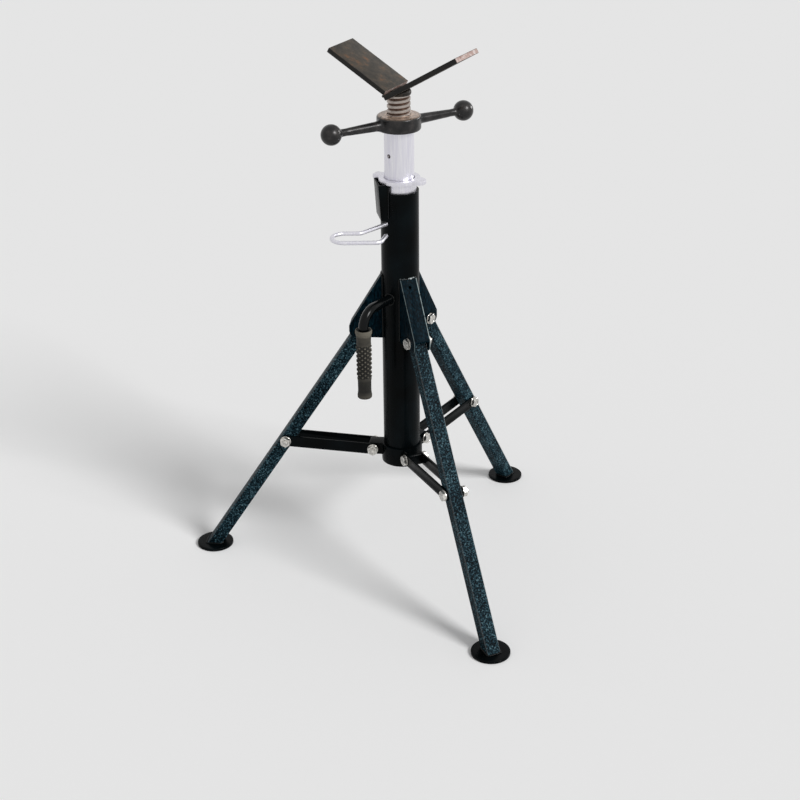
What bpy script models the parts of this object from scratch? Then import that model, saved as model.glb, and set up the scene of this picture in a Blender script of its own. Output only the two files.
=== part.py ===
# Folding pipe jack stand with a V head: a column on three folding legs, an inner tube
# that slides in it, and a hand nut that raises the V head on its screw.
# Metres, +Z up. The origin is on the floor under the middle of the three feet.
import math

import bmesh
import bpy
from mathutils import Matrix, Vector

for old_object in list(bpy.data.objects):
    bpy.data.objects.remove(old_object, do_unlink=True)

# Clearances shared by the fits
TOUCH_GAP = 0.0003
RUN_GAP = 0.0003
CUT_OVERRUN = 0.03
WELD_DISTANCE = 0.00001

# Column: one outer tube, the bush in its top and the stop ring at its foot
COLUMN_OD = 0.063
COLUMN_WALL = 0.0036
COLUMN_BOTTOM = 0.1933
COLUMN_TOP = 0.686
BUSH_TOP = 0.7005
BUSH_LENGTH = 0.058
STOP_RING_WALL = 0.0013
STOP_RING_HEIGHT = 0.004

# Inner tube with its row of pin holes
INNER_OD = 0.0483
INNER_WALL = 0.0032
INNER_LENGTH = 0.502
PIN_HOLE_PITCH = 0.0564
PIN_HOLE_COUNT = 8
PIN_HOLE_RADIUS = 0.0036
TOP_PIN_HOLE_DROP = 0.0366
PIN_AZIMUTH = math.radians(-134.0)

# Hand nut
HUB_OD = 0.0715
HUB_HEIGHT = 0.0255
HUB_BOTTOM = 0.785
HUB_EDGE = 0.0025
ARM_ROOT_RADIUS = 0.0078
ARM_NECK_RADIUS = 0.0058
ARM_FLARE_RADIUS = 0.0092
ARM_FLARE_LENGTH = 0.016
BALL_RADIUS = 0.0167
BALL_REACH = 0.1247
ARM_DROP = 0.0015
ARM_AZIMUTH = math.radians(32.6)
WASHER_THICKNESS = 0.002
WASHER_OVERLAP = 0.0009

# Lift screw
SCREW_OD = 0.038
SCREW_LENGTH = 0.1785
SCREW_TIP_CHAMFER = 0.002

# V head: two flat bars, the left one standing on the right one
V_HEIGHT = 0.852
V_AZIMUTH = math.radians(-28.3)
V_SLOPE = math.radians(30.0)
V_OFFSET = 0.0018
BAR_WIDTH = 0.076
BAR_THICKNESS = 0.008
BAR_EDGE = 0.0008
LEFT_ARM_LENGTH = 0.121
RIGHT_ARM_LENGTH = 0.133
RIGHT_ARM_TAIL = 0.011

# Legs
LEG_AZIMUTHS = {
    "front": math.radians(-66.0),
    "back": math.radians(54.0),
    "left": math.radians(174.0),
}
LEG_ANGLE = math.radians(33.0)
LEG_SIZE = 0.024
LEG_WALL = 0.002
LEG_CORNER = 0.0028
LEG_TOP = 0.0135
PIVOT_REACH = 0.064
PIVOT_HEIGHT = 0.440
FOOT_RADIUS = 0.0325
FOOT_THICKNESS = 0.005
FOOT_EDGE = 0.0012

# Hex bolts and nuts
BOLT_RADIUS = 0.005
HEX_ACROSS_FLATS = 0.017
BOLT_HEAD_HEIGHT = 0.0065
NUT_HEIGHT = 0.008
HEX_EDGE = 0.0006
THREAD_OUT = 0.0025

# Hoods: U channels welded to the column over the leg tops
HOOD_WALL = 0.0022
HOOD_SIDE_GAP = 0.0004
HOOD_TOP_RISE = 0.1005
HOOD_LIP = 0.0015
HOOD_OVERHANG = 0.0223
HOOD_KNEE_RISE = 0.009
HOOD_DROP = 0.0115
HOOD_CORNER = 0.010
HOOD_INNER_CORNER = 0.004
HOOD_HOLE_RADIUS = 0.0025
HOOD_HOLE_RISE = 0.0885

# Sliding collar and its lugs
COLLAR_OD = 0.0703
COLLAR_HEIGHT = 0.033
COLLAR_BOTTOM = 0.193
LUG_BOLT_REACH = 0.050
LUG_BOLT_DROP = 0.0108
LUG_OVERHANG = 0.008
LUG_CORNER = 0.004

# Braces: a pair of flat bars to each leg
BRACE_HEIGHT = 0.020
BRACE_THICKNESS = 0.003
BRACE_BOLT_DOWN_LEG = 0.257

# Lock bracket and lock plate
BRACKET_AZIMUTH = math.radians(-170.0)
BRACKET_HALF_WIDTH = 0.0228
BRACKET_WALL = 0.0025
BRACKET_TOP_REACH = 0.0386
BRACKET_BOTTOM_REACH = 0.0348
BRACKET_BOTTOM = 0.641
BRACKET_SIDE_REACH = 0.012
PLATE_AZIMUTH = math.radians(150.0)
PLATE_THICKNESS = 0.006
PLATE_RING_RADIUS = 0.034
PLATE_BORE_GAP = 0.00125
PLATE_TAIL_REACH = 0.046
PLATE_TAIL_WIDTH = 0.017
PLATE_TAIL_CORNER = 0.002
PLATE_TAB_RADIUS = 0.0135
PLATE_TAB_REACH = 0.0475

# Locking pin: a rod that ends in a D loop
PIN_RADIUS = 0.0034
PIN_HEIGHT = 0.634
PIN_BEND_RADIUS = 0.008
LOOP_FAR_ROW = -0.065
LOOP_NEAR_ROW = -0.109
LOOP_OUTER_END = -0.108
LOOP_OUTER_RADIUS = 0.0205
LOOP_INNER_CORNER_X = -0.031
LOOP_INNER_RADIUS = 0.010
LOOP_END_X = -0.022
LOOP_END_Y = -0.077

# Carry handle: a bent tube with a rubber grip
HANDLE_AZIMUTH = math.radians(-126.0)
HANDLE_RADIUS = 0.0082
HANDLE_ROOT_HEIGHT = 0.504
HANDLE_REACH = 0.104
HANDLE_BEND_RADIUS = 0.0285
HANDLE_DROP = 0.146
GRIP_LENGTH = 0.1218
GRIP_END_WALL = 0.0045
GRIP_RADIUS = 0.0115
GRIP_FLANGE_RADIUS = 0.014
GRIP_FLANGE_HEIGHT = 0.004
GRIP_FOOT_RADIUS = 0.0123
GRIP_FOOT_HEIGHT = 0.006

# Facets: whole numbers of sides and steps
COLUMN_SIDES = 48
ROUND_SIDES = 32
SMALL_SIDES = 16
BALL_SIDES = 20
ARC_STEPS = 4

# Sizes that follow from the ones above
column_radius = COLUMN_OD / 2
column_bore_radius = column_radius - COLUMN_WALL
inner_radius = INNER_OD / 2
inner_bore_radius = inner_radius - INNER_WALL
inner_top = HUB_BOTTOM - WASHER_THICKNESS - 2 * TOUCH_GAP
hub_radius = HUB_OD / 2
screw_radius = SCREW_OD / 2
half_leg = LEG_SIZE / 2
hood_inner_half = half_leg + HOOD_SIDE_GAP
hood_outer_half = hood_inner_half + HOOD_WALL
brace_inner_face = half_leg + TOUCH_GAP
brace_outer_face = brace_inner_face + BRACE_THICKNESS
bolt_hole_radius = BOLT_RADIUS + RUN_GAP
hex_radius = HEX_ACROSS_FLATS / 2 / math.cos(math.pi / 6)
handle_end = HANDLE_ROOT_HEIGHT - HANDLE_DROP
foot_reach = PIVOT_REACH + (PIVOT_HEIGHT - FOOT_THICKNESS) * math.tan(LEG_ANGLE)
lug_bolt_height = COLLAR_BOTTOM + COLLAR_HEIGHT - LUG_BOLT_DROP
leg_bolt_x = BRACE_BOLT_DOWN_LEG * math.sin(LEG_ANGLE)
leg_bolt_z = -BRACE_BOLT_DOWN_LEG * math.cos(LEG_ANGLE)
brace_run = PIVOT_REACH + leg_bolt_x - LUG_BOLT_REACH
brace_rise = PIVOT_HEIGHT + leg_bolt_z - lug_bolt_height
brace_length = math.hypot(brace_run, brace_rise)
brace_slope = math.atan2(brace_rise, brace_run)
plate_bottom = BUSH_TOP + TOUCH_GAP


def footprint_middle():
    """Middle of the box round the three feet, seen from above, with the column at zero."""
    feet_x = [foot_reach * math.cos(azimuth) for azimuth in LEG_AZIMUTHS.values()]
    feet_y = [foot_reach * math.sin(azimuth) for azimuth in LEG_AZIMUTHS.values()]
    return (min(feet_x) + max(feet_x)) / 2, (min(feet_y) + max(feet_y)) / 2


parts = bpy.data.collections.new("pipe_jack_stand")
cutters = bpy.data.collections.new("cutters")
bpy.context.scene.collection.children.link(parts)
bpy.context.scene.collection.children.link(cutters)


def look(name, colour, roughness, metallic):
    material = bpy.data.materials.new(name)
    material.use_nodes = True
    shader = material.node_tree.nodes["Principled BSDF"]
    shader.inputs["Base Color"].default_value = (*colour, 1.0)
    shader.inputs["Roughness"].default_value = roughness
    shader.inputs["Metallic"].default_value = metallic
    return material


BLACK_PAINT = ((0.012, 0.016, 0.018), 0.35, 0.0)
TEXTURED_PAINT = ((0.03, 0.05, 0.055), 0.5, 0.2)
BRIGHT_STEEL = ((0.75, 0.75, 0.76), 0.3, 1.0)
ZINC = ((0.7, 0.7, 0.68), 0.35, 1.0)
DARK_IRON = ((0.05, 0.052, 0.055), 0.55, 0.6)
BARE_STEEL = ((0.35, 0.32, 0.30), 0.45, 0.9)
BAR_STEEL = ((0.10, 0.09, 0.085), 0.5, 0.7)
RUBBER = ((0.11, 0.11, 0.10), 0.8, 0.0)


def loose(name, mesh):
    """A working object in the cutters' collection; a finished piece is moved by node()."""
    piece = bpy.data.objects.new(name, mesh)
    cutters.objects.link(piece)
    piece.hide_render = True
    piece.display_type = "WIRE"
    return piece


def bake(piece):
    """Turn a working object's modifiers, or its curve, into plain mesh faces."""
    bpy.context.view_layer.update()
    graph = bpy.context.evaluated_depsgraph_get()
    mesh = bpy.data.meshes.new_from_object(piece.evaluated_get(graph))
    work = bmesh.new()
    work.from_mesh(mesh)
    bmesh.ops.remove_doubles(work, verts=work.verts, dist=WELD_DISTANCE)
    work.to_mesh(mesh)
    work.free()
    if piece.type == "CURVE":
        solid = loose(piece.name, mesh)
        solid.matrix_world = piece.matrix_world
        bpy.data.objects.remove(piece, do_unlink=True)
        return solid
    piece.modifiers.clear()
    piece.data = mesh
    return piece


def moved(piece, matrix):
    piece.data.transform(matrix)
    return piece


def cylinder(name, radius, low, high, sides):
    bpy.ops.mesh.primitive_cylinder_add(vertices=sides, radius=radius, depth=high - low)
    made = bpy.context.active_object
    mesh = made.data
    bpy.data.objects.remove(made, do_unlink=True)
    mesh.transform(Matrix.Translation((0, 0, (low + high) / 2)))
    return loose(name, mesh)


def across(name, radius, half_length, x, z, sides=SMALL_SIDES):
    """A cylinder along Y, centred on (x, 0, z)."""
    piece = cylinder(name, radius, -half_length, half_length, sides)
    return moved(piece, Matrix.Translation((x, 0, z)) @ Matrix.Rotation(math.pi / 2, 4, "X"))


def box(name, low, high):
    bpy.ops.mesh.primitive_cube_add(size=1)
    made = bpy.context.active_object
    mesh = made.data
    bpy.data.objects.remove(made, do_unlink=True)
    size = Vector(high) - Vector(low)
    middle = (Vector(high) + Vector(low)) / 2
    mesh.transform(Matrix.Translation(middle) @ Matrix.Diagonal((*size, 1)))
    return loose(name, mesh)


def turned(name, profile, sides, closed):
    """A profile of (radius, height) points, spun about Z."""
    mesh = bpy.data.meshes.new(name)
    points = [(radius, 0, height) for radius, height in profile]
    edges = [(i, i + 1) for i in range(len(points) - 1)]
    if closed:
        edges.append((len(points) - 1, 0))
    mesh.from_pydata(points, edges, [])
    piece = loose(name, mesh)
    screw = piece.modifiers.new("Turn", "SCREW")
    screw.steps = sides
    screw.render_steps = sides
    screw.use_merge_vertices = True
    screw.merge_threshold = WELD_DISTANCE
    return bake(piece)


def tube(name, outer, inner, low, high, sides):
    profile = [(outer, high), (outer, low), (inner, low), (inner, high)]
    return turned(name, profile, sides, True)


def rounded(corners, closed=True):
    """Points of an outline whose corners (x, y, radius) are rounded."""
    points = []
    count = len(corners)
    for i, (x, y, radius) in enumerate(corners):
        corner = Vector((x, y))
        if radius <= 0 or (not closed and i in (0, count - 1)):
            points.append(tuple(corner))
            continue
        before = (Vector(corners[i - 1][:2]) - corner).normalized()
        after = (Vector(corners[(i + 1) % count][:2]) - corner).normalized()
        half = before.angle(after) / 2
        centre = corner + (before + after).normalized() * (radius / math.sin(half))
        start = corner + before * (radius / math.tan(half)) - centre
        sweep = math.pi - 2 * half
        if before.x * after.y - before.y * after.x > 0:
            sweep = -sweep
        for step in range(ARC_STEPS + 1):
            angle = sweep * step / ARC_STEPS
            turn = Matrix.Rotation(angle, 2)
            points.append(tuple(centre + turn @ start))
    return points


def slab(name, outlines, low, high):
    """Flat outlines in XY, the first with the others as holes, from low to high in Z."""
    curve = bpy.data.curves.new(name, "CURVE")
    curve.dimensions = "2D"
    curve.fill_mode = "BOTH"
    curve.extrude = (high - low) / 2
    for outline in outlines:
        spline = curve.splines.new("POLY")
        spline.points.add(len(outline) - 1)
        for point, (x, y) in zip(spline.points, outline):
            point.co = (x, y, 0, 1)
        spline.use_cyclic_u = True
    shape = bpy.data.objects.new(name, curve)
    cutters.objects.link(shape)
    solid = bake(shape)
    return moved(solid, Matrix.Translation((0, 0, (low + high) / 2)))


def side_slab(name, outline, low, high):
    """An outline in (x, z) with its thickness along Y, from low to high."""
    solid = slab(name, [outline], -high, -low)
    return moved(solid, Matrix.Rotation(math.pi / 2, 4, "X"))


def rod(name, points, radius, resolution):
    """A round bar along the points."""
    curve = bpy.data.curves.new(name, "CURVE")
    curve.dimensions = "3D"
    curve.bevel_depth = radius
    curve.bevel_resolution = resolution
    curve.use_fill_caps = True
    spline = curve.splines.new("POLY")
    spline.points.add(len(points) - 1)
    for point, place in zip(spline.points, points):
        point.co = (*place, 1)
    shape = bpy.data.objects.new(name, curve)
    cutters.objects.link(shape)
    return bake(shape)


def soften(piece, width, segments=1, angle=math.radians(50)):
    bevel = piece.modifiers.new("Edges", "BEVEL")
    bevel.width = width
    bevel.segments = segments
    bevel.limit_method = "ANGLE"
    bevel.angle_limit = angle
    return bake(piece)


def combine(piece, others, operation):
    for other in others:
        modifier = piece.modifiers.new(other.name, "BOOLEAN")
        modifier.operation = operation
        modifier.solver = "EXACT"
        modifier.object = other
    return bake(piece)


def cut(piece, others):
    return combine(piece, others, "DIFFERENCE")


def join(piece, others):
    return combine(piece, others, "UNION")


def empty(name, parent, place, turn=0.0):
    holder = bpy.data.objects.new(name, None)
    parts.objects.link(holder)
    holder.parent = parent
    holder.location = place
    holder.rotation_euler = (0, 0, turn)
    return holder


def node(name, shape, finish, parent, place=(0, 0, 0), turn=(0, 0, 0)):
    """A finished piece of the stand: its own mesh and its own material, under its parent."""
    mesh = shape.data.copy()
    mesh.name = name
    mesh.materials.clear()
    mesh.materials.append(look(name, *finish))
    mesh.shade_smooth()
    mesh.set_sharp_from_angle(angle=math.radians(30))
    piece = bpy.data.objects.new(name, mesh)
    parts.objects.link(piece)
    piece.parent = parent
    piece.location = place
    piece.rotation_euler = turn
    return piece


middle_x, middle_y = footprint_middle()
stand = empty("stand", None, (-middle_x, -middle_y, 0))
stations = {
    name: empty("station_" + name, stand, (0, 0, 0), azimuth)
    for name, azimuth in LEG_AZIMUTHS.items()
}

# Column tube with the pin's hole in one wall
pin_station = empty("pin_station", stand, (0, 0, PIN_HEIGHT), PIN_AZIMUTH)
column = tube(
    "column", column_radius, column_bore_radius, COLUMN_BOTTOM, COLUMN_TOP, COLUMN_SIDES
)
pin_bore = cylinder("pin_bore", PIN_HOLE_RADIUS, 0, column_radius + CUT_OVERRUN, SMALL_SIDES)
along_pin = (
    Matrix.Rotation(PIN_AZIMUTH, 4, "Z") @ Matrix.Rotation(math.pi / 2, 4, "Y")
)
moved(pin_bore, Matrix.Translation((0, 0, PIN_HEIGHT)) @ along_pin)
node("outer_tube", cut(column, [pin_bore]), BLACK_PAINT, stand)

# Guide bush in the column's mouth, proud of its rim
bush = tube(
    "bush",
    column_bore_radius - TOUCH_GAP,
    inner_radius + RUN_GAP,
    BUSH_TOP - BUSH_LENGTH,
    BUSH_TOP,
    COLUMN_SIDES,
)
node("guide_bush", bush, BRIGHT_STEEL, stand)

# Stop ring round the column's foot, inside the collar's counterbore
stop_inner = column_radius + TOUCH_GAP
stop_outer = stop_inner + STOP_RING_WALL
stop_top = COLLAR_BOTTOM + STOP_RING_HEIGHT
stop_ring = tube("stop", stop_outer, stop_inner, COLLAR_BOTTOM, stop_top, COLUMN_SIDES)
node("stop_ring", stop_ring, BLACK_PAINT, stand)

# Inner tube, drilled right through at each pitch
inner_bottom = inner_top - INNER_LENGTH
inner = tube("inner", inner_radius, inner_bore_radius, inner_bottom, inner_top, COLUMN_SIDES)
drills = []
for index in range(PIN_HOLE_COUNT):
    height = inner_top - TOP_PIN_HOLE_DROP - index * PIN_HOLE_PITCH
    drill = cylinder(
        "drill", PIN_HOLE_RADIUS, -inner_radius - CUT_OVERRUN, inner_radius + CUT_OVERRUN, SMALL_SIDES
    )
    drills.append(moved(drill, Matrix.Translation((0, 0, height)) @ along_pin))
node("inner_tube", cut(inner, drills), BRIGHT_STEEL, stand)

# Thrust washer between the tube's top and the hand nut
washer = tube(
    "washer",
    inner_radius + WASHER_OVERLAP,
    screw_radius + RUN_GAP,
    0,
    WASHER_THICKNESS,
    COLUMN_SIDES,
)
node("thrust_washer", washer, BRIGHT_STEEL, stand, (0, 0, inner_top + TOUCH_GAP))

# Hand nut: a hub with two arms that end in balls, cast in one
nut_station = empty("nut_station", stand, (0, 0, HUB_BOTTOM), ARM_AZIMUTH)
hub = soften(cylinder("hub", hub_radius, 0, HUB_HEIGHT, COLUMN_SIDES), HUB_EDGE, 2)
neck_end = BALL_REACH - math.sqrt(BALL_RADIUS**2 - ARM_FLARE_RADIUS**2)
arm_profile = [(0, BALL_REACH + BALL_RADIUS)]
ball_rings = BALL_SIDES // 2
neck_turn = math.pi - math.asin(ARM_FLARE_RADIUS / BALL_RADIUS)
for step in range(1, ball_rings):
    turn = neck_turn * step / ball_rings
    arm_profile.append((BALL_RADIUS * math.sin(turn), BALL_REACH + BALL_RADIUS * math.cos(turn)))
arm_profile.append((ARM_FLARE_RADIUS, neck_end))
flare_steps = ARC_STEPS // 2
for step in range(1, flare_steps):
    part = step / flare_steps
    radius = ARM_NECK_RADIUS + (ARM_FLARE_RADIUS - ARM_NECK_RADIUS) * (1 - part) ** 2
    arm_profile.append((radius, neck_end - ARM_FLARE_LENGTH * part))
arm_profile.append((ARM_NECK_RADIUS, neck_end - ARM_FLARE_LENGTH))
arm_profile.append((ARM_ROOT_RADIUS, hub_radius - HUB_EDGE))
arm_profile.append((ARM_ROOT_RADIUS, screw_radius))
arm_profile.append((0, screw_radius))
arms = []
for side in (1, -1):
    arm = turned("arm", arm_profile, BALL_SIDES, False)
    lift = Matrix.Translation((0, 0, HUB_HEIGHT / 2 - ARM_DROP))
    arms.append(moved(arm, lift @ Matrix.Rotation(side * math.pi / 2, 4, "Y")))
nut_bore = cylinder(
    "nut_bore", screw_radius + RUN_GAP, -CUT_OVERRUN, HUB_HEIGHT + CUT_OVERRUN, ROUND_SIDES
)
node("handle_nut", cut(join(hub, arms), [nut_bore]), DARK_IRON, nut_station)

# V head: the right bar first, then the left bar whose cut end stands on it
head = empty("v_head", stand, (V_OFFSET * math.cos(V_AZIMUTH), V_OFFSET * math.sin(V_AZIMUTH), V_HEIGHT), V_AZIMUTH)
half_width = BAR_WIDTH / 2
stand_off = (BAR_THICKNESS * math.cos(2 * V_SLOPE) + TOUCH_GAP) / math.sin(2 * V_SLOPE)


def bar(name, start, end, margin=0.0):
    low = (start - margin, -half_width - margin, -BAR_THICKNESS - margin)
    return box(name, low, (end + margin, half_width + margin, margin))


right_bar = soften(bar("right_bar", -RIGHT_ARM_TAIL, RIGHT_ARM_LENGTH), BAR_EDGE, 2)
node("v_bar_right", right_bar, BAR_STEEL, head, turn=(0, -V_SLOPE, 0))
left_bar = soften(bar("left_bar", stand_off, LEFT_ARM_LENGTH), BAR_EDGE, 2)
node("v_bar_left", left_bar, BAR_STEEL, head, turn=(0, -V_SLOPE, math.pi))

# Lift screw, its top cut to fit under both bars
tail_drop = RIGHT_ARM_TAIL * math.sin(V_SLOPE)
screw_top = V_HEIGHT - tail_drop
screw_bottom = screw_top - SCREW_LENGTH
screw_profile = [
    (0, screw_top),
    (screw_radius, screw_top),
    (screw_radius, screw_bottom + SCREW_TIP_CHAMFER),
    (screw_radius - SCREW_TIP_CHAMFER, screw_bottom),
    (0, screw_bottom),
]
screw = turned("screw", screw_profile, ROUND_SIDES, False)
head_place = Matrix.Translation(head.location) @ Matrix.Rotation(V_AZIMUTH, 4, "Z")
right_cut = bar("right_cut", -RIGHT_ARM_TAIL, RIGHT_ARM_LENGTH, TOUCH_GAP)
moved(right_cut, head_place @ Matrix.Rotation(-V_SLOPE, 4, "Y"))
left_cut = bar("left_cut", stand_off, LEFT_ARM_LENGTH, TOUCH_GAP)
moved(left_cut, head_place @ Matrix.Rotation(math.pi, 4, "Z") @ Matrix.Rotation(-V_SLOPE, 4, "Y"))
node("lift_screw", cut(screw, [right_cut, left_cut]), BARE_STEEL, stand)

# Hex bolt and nut, built along Z with the bearing face at zero
grip_half = brace_outer_face + TOUCH_GAP


def hex_bolt(name, shank):
    bolt_head = soften(cylinder(name, hex_radius, 0, BOLT_HEAD_HEIGHT, 6), HEX_EDGE)
    stem = cylinder("stem", BOLT_RADIUS, -shank, BOLT_HEAD_HEIGHT / 2, SMALL_SIDES)
    return join(bolt_head, [stem])


def hex_nut(name):
    body = soften(cylinder(name, hex_radius, 0, NUT_HEIGHT, 6), HEX_EDGE)
    hole = cylinder("hole", bolt_hole_radius, -CUT_OVERRUN, NUT_HEIGHT + CUT_OVERRUN, SMALL_SIDES)
    return cut(body, [hole])


face_minus_y = (math.pi / 2, 0, 0)
face_plus_y = (-math.pi / 2, 0, 0)
hood_face = hood_outer_half + TOUCH_GAP
lug_bolt = hex_bolt("lug_bolt", 2 * grip_half + NUT_HEIGHT + THREAD_OUT)
hood_bolt = hex_bolt("hood_bolt", 2 * hood_face + NUT_HEIGHT + THREAD_OUT)
short_bolt = hex_bolt("short_bolt", grip_half - brace_inner_face)
plain_nut = hex_nut("plain_nut")
capped_nut = join(
    soften(cylinder("capped_nut", hex_radius, 0, NUT_HEIGHT, 6), HEX_EDGE),
    [
        cylinder(
            "nut_stem", BOLT_RADIUS, brace_inner_face - grip_half, NUT_HEIGHT + THREAD_OUT, SMALL_SIDES
        )
    ],
)

# Hood: a folded channel, cut to the column and drilled for the leg's pivot bolt
hood_slope = math.atan2(HOOD_TOP_RISE - HOOD_KNEE_RISE, PIVOT_REACH + HOOD_OVERHANG - column_radius)
hood_in = column_bore_radius - PIVOT_REACH
hood_start = column_radius - PIVOT_REACH
hood_out = HOOD_OVERHANG
hood_knee = HOOD_KNEE_RISE
hood_foot = -HOOD_DROP
hood_outline = rounded(
    [
        (hood_in, HOOD_TOP_RISE, 0),
        (hood_start, HOOD_TOP_RISE, 0),
        (hood_out, hood_knee, HOOD_INNER_CORNER),
        (hood_out, hood_foot, HOOD_CORNER),
        (hood_in, hood_foot, 0),
    ]
)
hollow_drop = HOOD_WALL / math.cos(hood_slope)
hollow_knee = hood_knee - HOOD_WALL * math.tan((math.pi / 2 - hood_slope) / 2)
hollow_out = hood_out - HOOD_WALL
hollow_in = hood_in - CUT_OVERRUN
hollow_top = HOOD_TOP_RISE - hollow_drop
hollow_outline = [
    (hollow_in, hollow_top),
    (hood_start, hollow_top),
    (hollow_out, hollow_knee),
    (hollow_out, hood_knee - HOOD_LIP),
    (hood_out + CUT_OVERRUN, hood_knee - HOOD_LIP),
    (hood_out + CUT_OVERRUN, hood_foot - CUT_OVERRUN),
    (hollow_in, hood_foot - CUT_OVERRUN),
]
hood = side_slab("hood", hood_outline, -hood_outer_half, hood_outer_half)
hood_hollow = side_slab("hood_hollow", hollow_outline, -hood_inner_half, hood_inner_half)
hood_saddle = cylinder(
    "hood_saddle",
    column_radius + TOUCH_GAP,
    hood_foot - CUT_OVERRUN,
    HOOD_TOP_RISE + CUT_OVERRUN,
    COLUMN_SIDES,
)
moved(hood_saddle, Matrix.Translation((-PIVOT_REACH, 0, 0)))
hood_pivot_hole = across("hood_pivot_hole", bolt_hole_radius, hood_outer_half + CUT_OVERRUN, 0, 0)
web_hole_z = HOOD_HOLE_RISE
web_hole_x = hood_out - (web_hole_z - hood_knee) / math.tan(hood_slope)
web_hole = cylinder("web_hole", HOOD_HOLE_RADIUS, -2 * HOOD_WALL, 2 * HOOD_WALL, SMALL_SIDES)
web_place = Matrix.Translation((web_hole_x, 0, web_hole_z))
moved(web_hole, web_place @ Matrix.Rotation(math.pi / 2 - (math.pi / 2 - hood_slope), 4, "Y"))
hood = cut(hood, [hood_hollow, hood_saddle, hood_pivot_hole, web_hole])

# Leg: square tube with its top square, its bottom cut level, drilled for both bolts
def square(size, corner):
    half = size / 2
    return rounded(
        [(half, half, corner), (-half, half, corner), (-half, -half, corner), (half, -half, corner)]
    )


leg_run = (PIVOT_HEIGHT + LEG_SIZE) / math.cos(LEG_ANGLE)
leg_outline = square(LEG_SIZE, LEG_CORNER)
leg_hollow = square(LEG_SIZE - 2 * LEG_WALL, LEG_CORNER - LEG_WALL)
leg = slab("leg", [leg_outline, leg_hollow], -leg_run, LEG_TOP)
moved(leg, Matrix.Rotation(-LEG_ANGLE, 4, "Y"))
leg_cut_height = FOOT_THICKNESS + TOUCH_GAP - PIVOT_HEIGHT
floor_cut = box(
    "floor_cut",
    (0, -LEG_SIZE, leg_cut_height - 2 * LEG_SIZE),
    (foot_reach + CUT_OVERRUN, LEG_SIZE, leg_cut_height),
)
leg_pivot_hole = across("leg_pivot_hole", bolt_hole_radius, LEG_SIZE, 0, 0)
leg_bolt_hole = across("leg_bolt_hole", bolt_hole_radius, LEG_SIZE, leg_bolt_x, leg_bolt_z)
leg = cut(leg, [floor_cut, leg_pivot_hole, leg_bolt_hole])
foot = soften(cylinder("foot", FOOT_RADIUS, 0, FOOT_THICKNESS, ROUND_SIDES), FOOT_EDGE)
leg_pin = cylinder("leg_pin", BOLT_RADIUS, -half_leg, half_leg, SMALL_SIDES)

# Brace bar: a flat bar with round ends, drilled at both
end_radius = BRACE_HEIGHT / 2
brace_outline = rounded(
    [
        (-end_radius, -end_radius, end_radius),
        (brace_length + end_radius, -end_radius, end_radius),
        (brace_length + end_radius, end_radius, end_radius),
        (-end_radius, end_radius, end_radius),
    ]
)
brace = side_slab("brace", brace_outline, -BRACE_THICKNESS / 2, BRACE_THICKNESS / 2)
brace = cut(
    brace,
    [
        across("brace_hole_in", bolt_hole_radius, end_radius, 0, 0),
        across("brace_hole_out", bolt_hole_radius, end_radius, brace_length, 0),
    ],
)

# Sliding collar: a ring with three lugs, bored to run on the column
collar_ring = cylinder("collar_ring", COLLAR_OD / 2, 0, COLLAR_HEIGHT, COLUMN_SIDES)
collar_base = empty("collar_slide", stand, (0, 0, COLLAR_BOTTOM))
lug_low = COLLAR_HEIGHT - 2 * LUG_BOLT_DROP
lug_end = LUG_BOLT_REACH + LUG_OVERHANG
lugs = []
lug_holes = []
for name, azimuth in LEG_AZIMUTHS.items():
    lug_outline = rounded(
        [
            (column_radius, lug_low, 0),
            (lug_end, lug_low, LUG_CORNER),
            (lug_end, COLLAR_HEIGHT, LUG_CORNER),
            (column_radius, COLLAR_HEIGHT, 0),
        ]
    )
    lug = side_slab("lug_" + name, lug_outline, -half_leg, half_leg)
    lugs.append(moved(lug, Matrix.Rotation(azimuth, 4, "Z")))
    lug_hole = across(
        "lug_hole_" + name, bolt_hole_radius, LEG_SIZE, LUG_BOLT_REACH, COLLAR_HEIGHT - LUG_BOLT_DROP
    )
    lug_holes.append(moved(lug_hole, Matrix.Rotation(azimuth, 4, "Z")))
collar_bore = cylinder(
    "collar_bore", column_radius + RUN_GAP, -CUT_OVERRUN, COLLAR_HEIGHT + CUT_OVERRUN, COLUMN_SIDES
)
counterbore = cylinder(
    "counterbore",
    stop_outer + RUN_GAP,
    -CUT_OVERRUN,
    STOP_RING_HEIGHT + TOUCH_GAP,
    COLUMN_SIDES,
)
collar = cut(join(collar_ring, lugs), [collar_bore, counterbore, *lug_holes])
node("collar", collar, BLACK_PAINT, collar_base)

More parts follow.
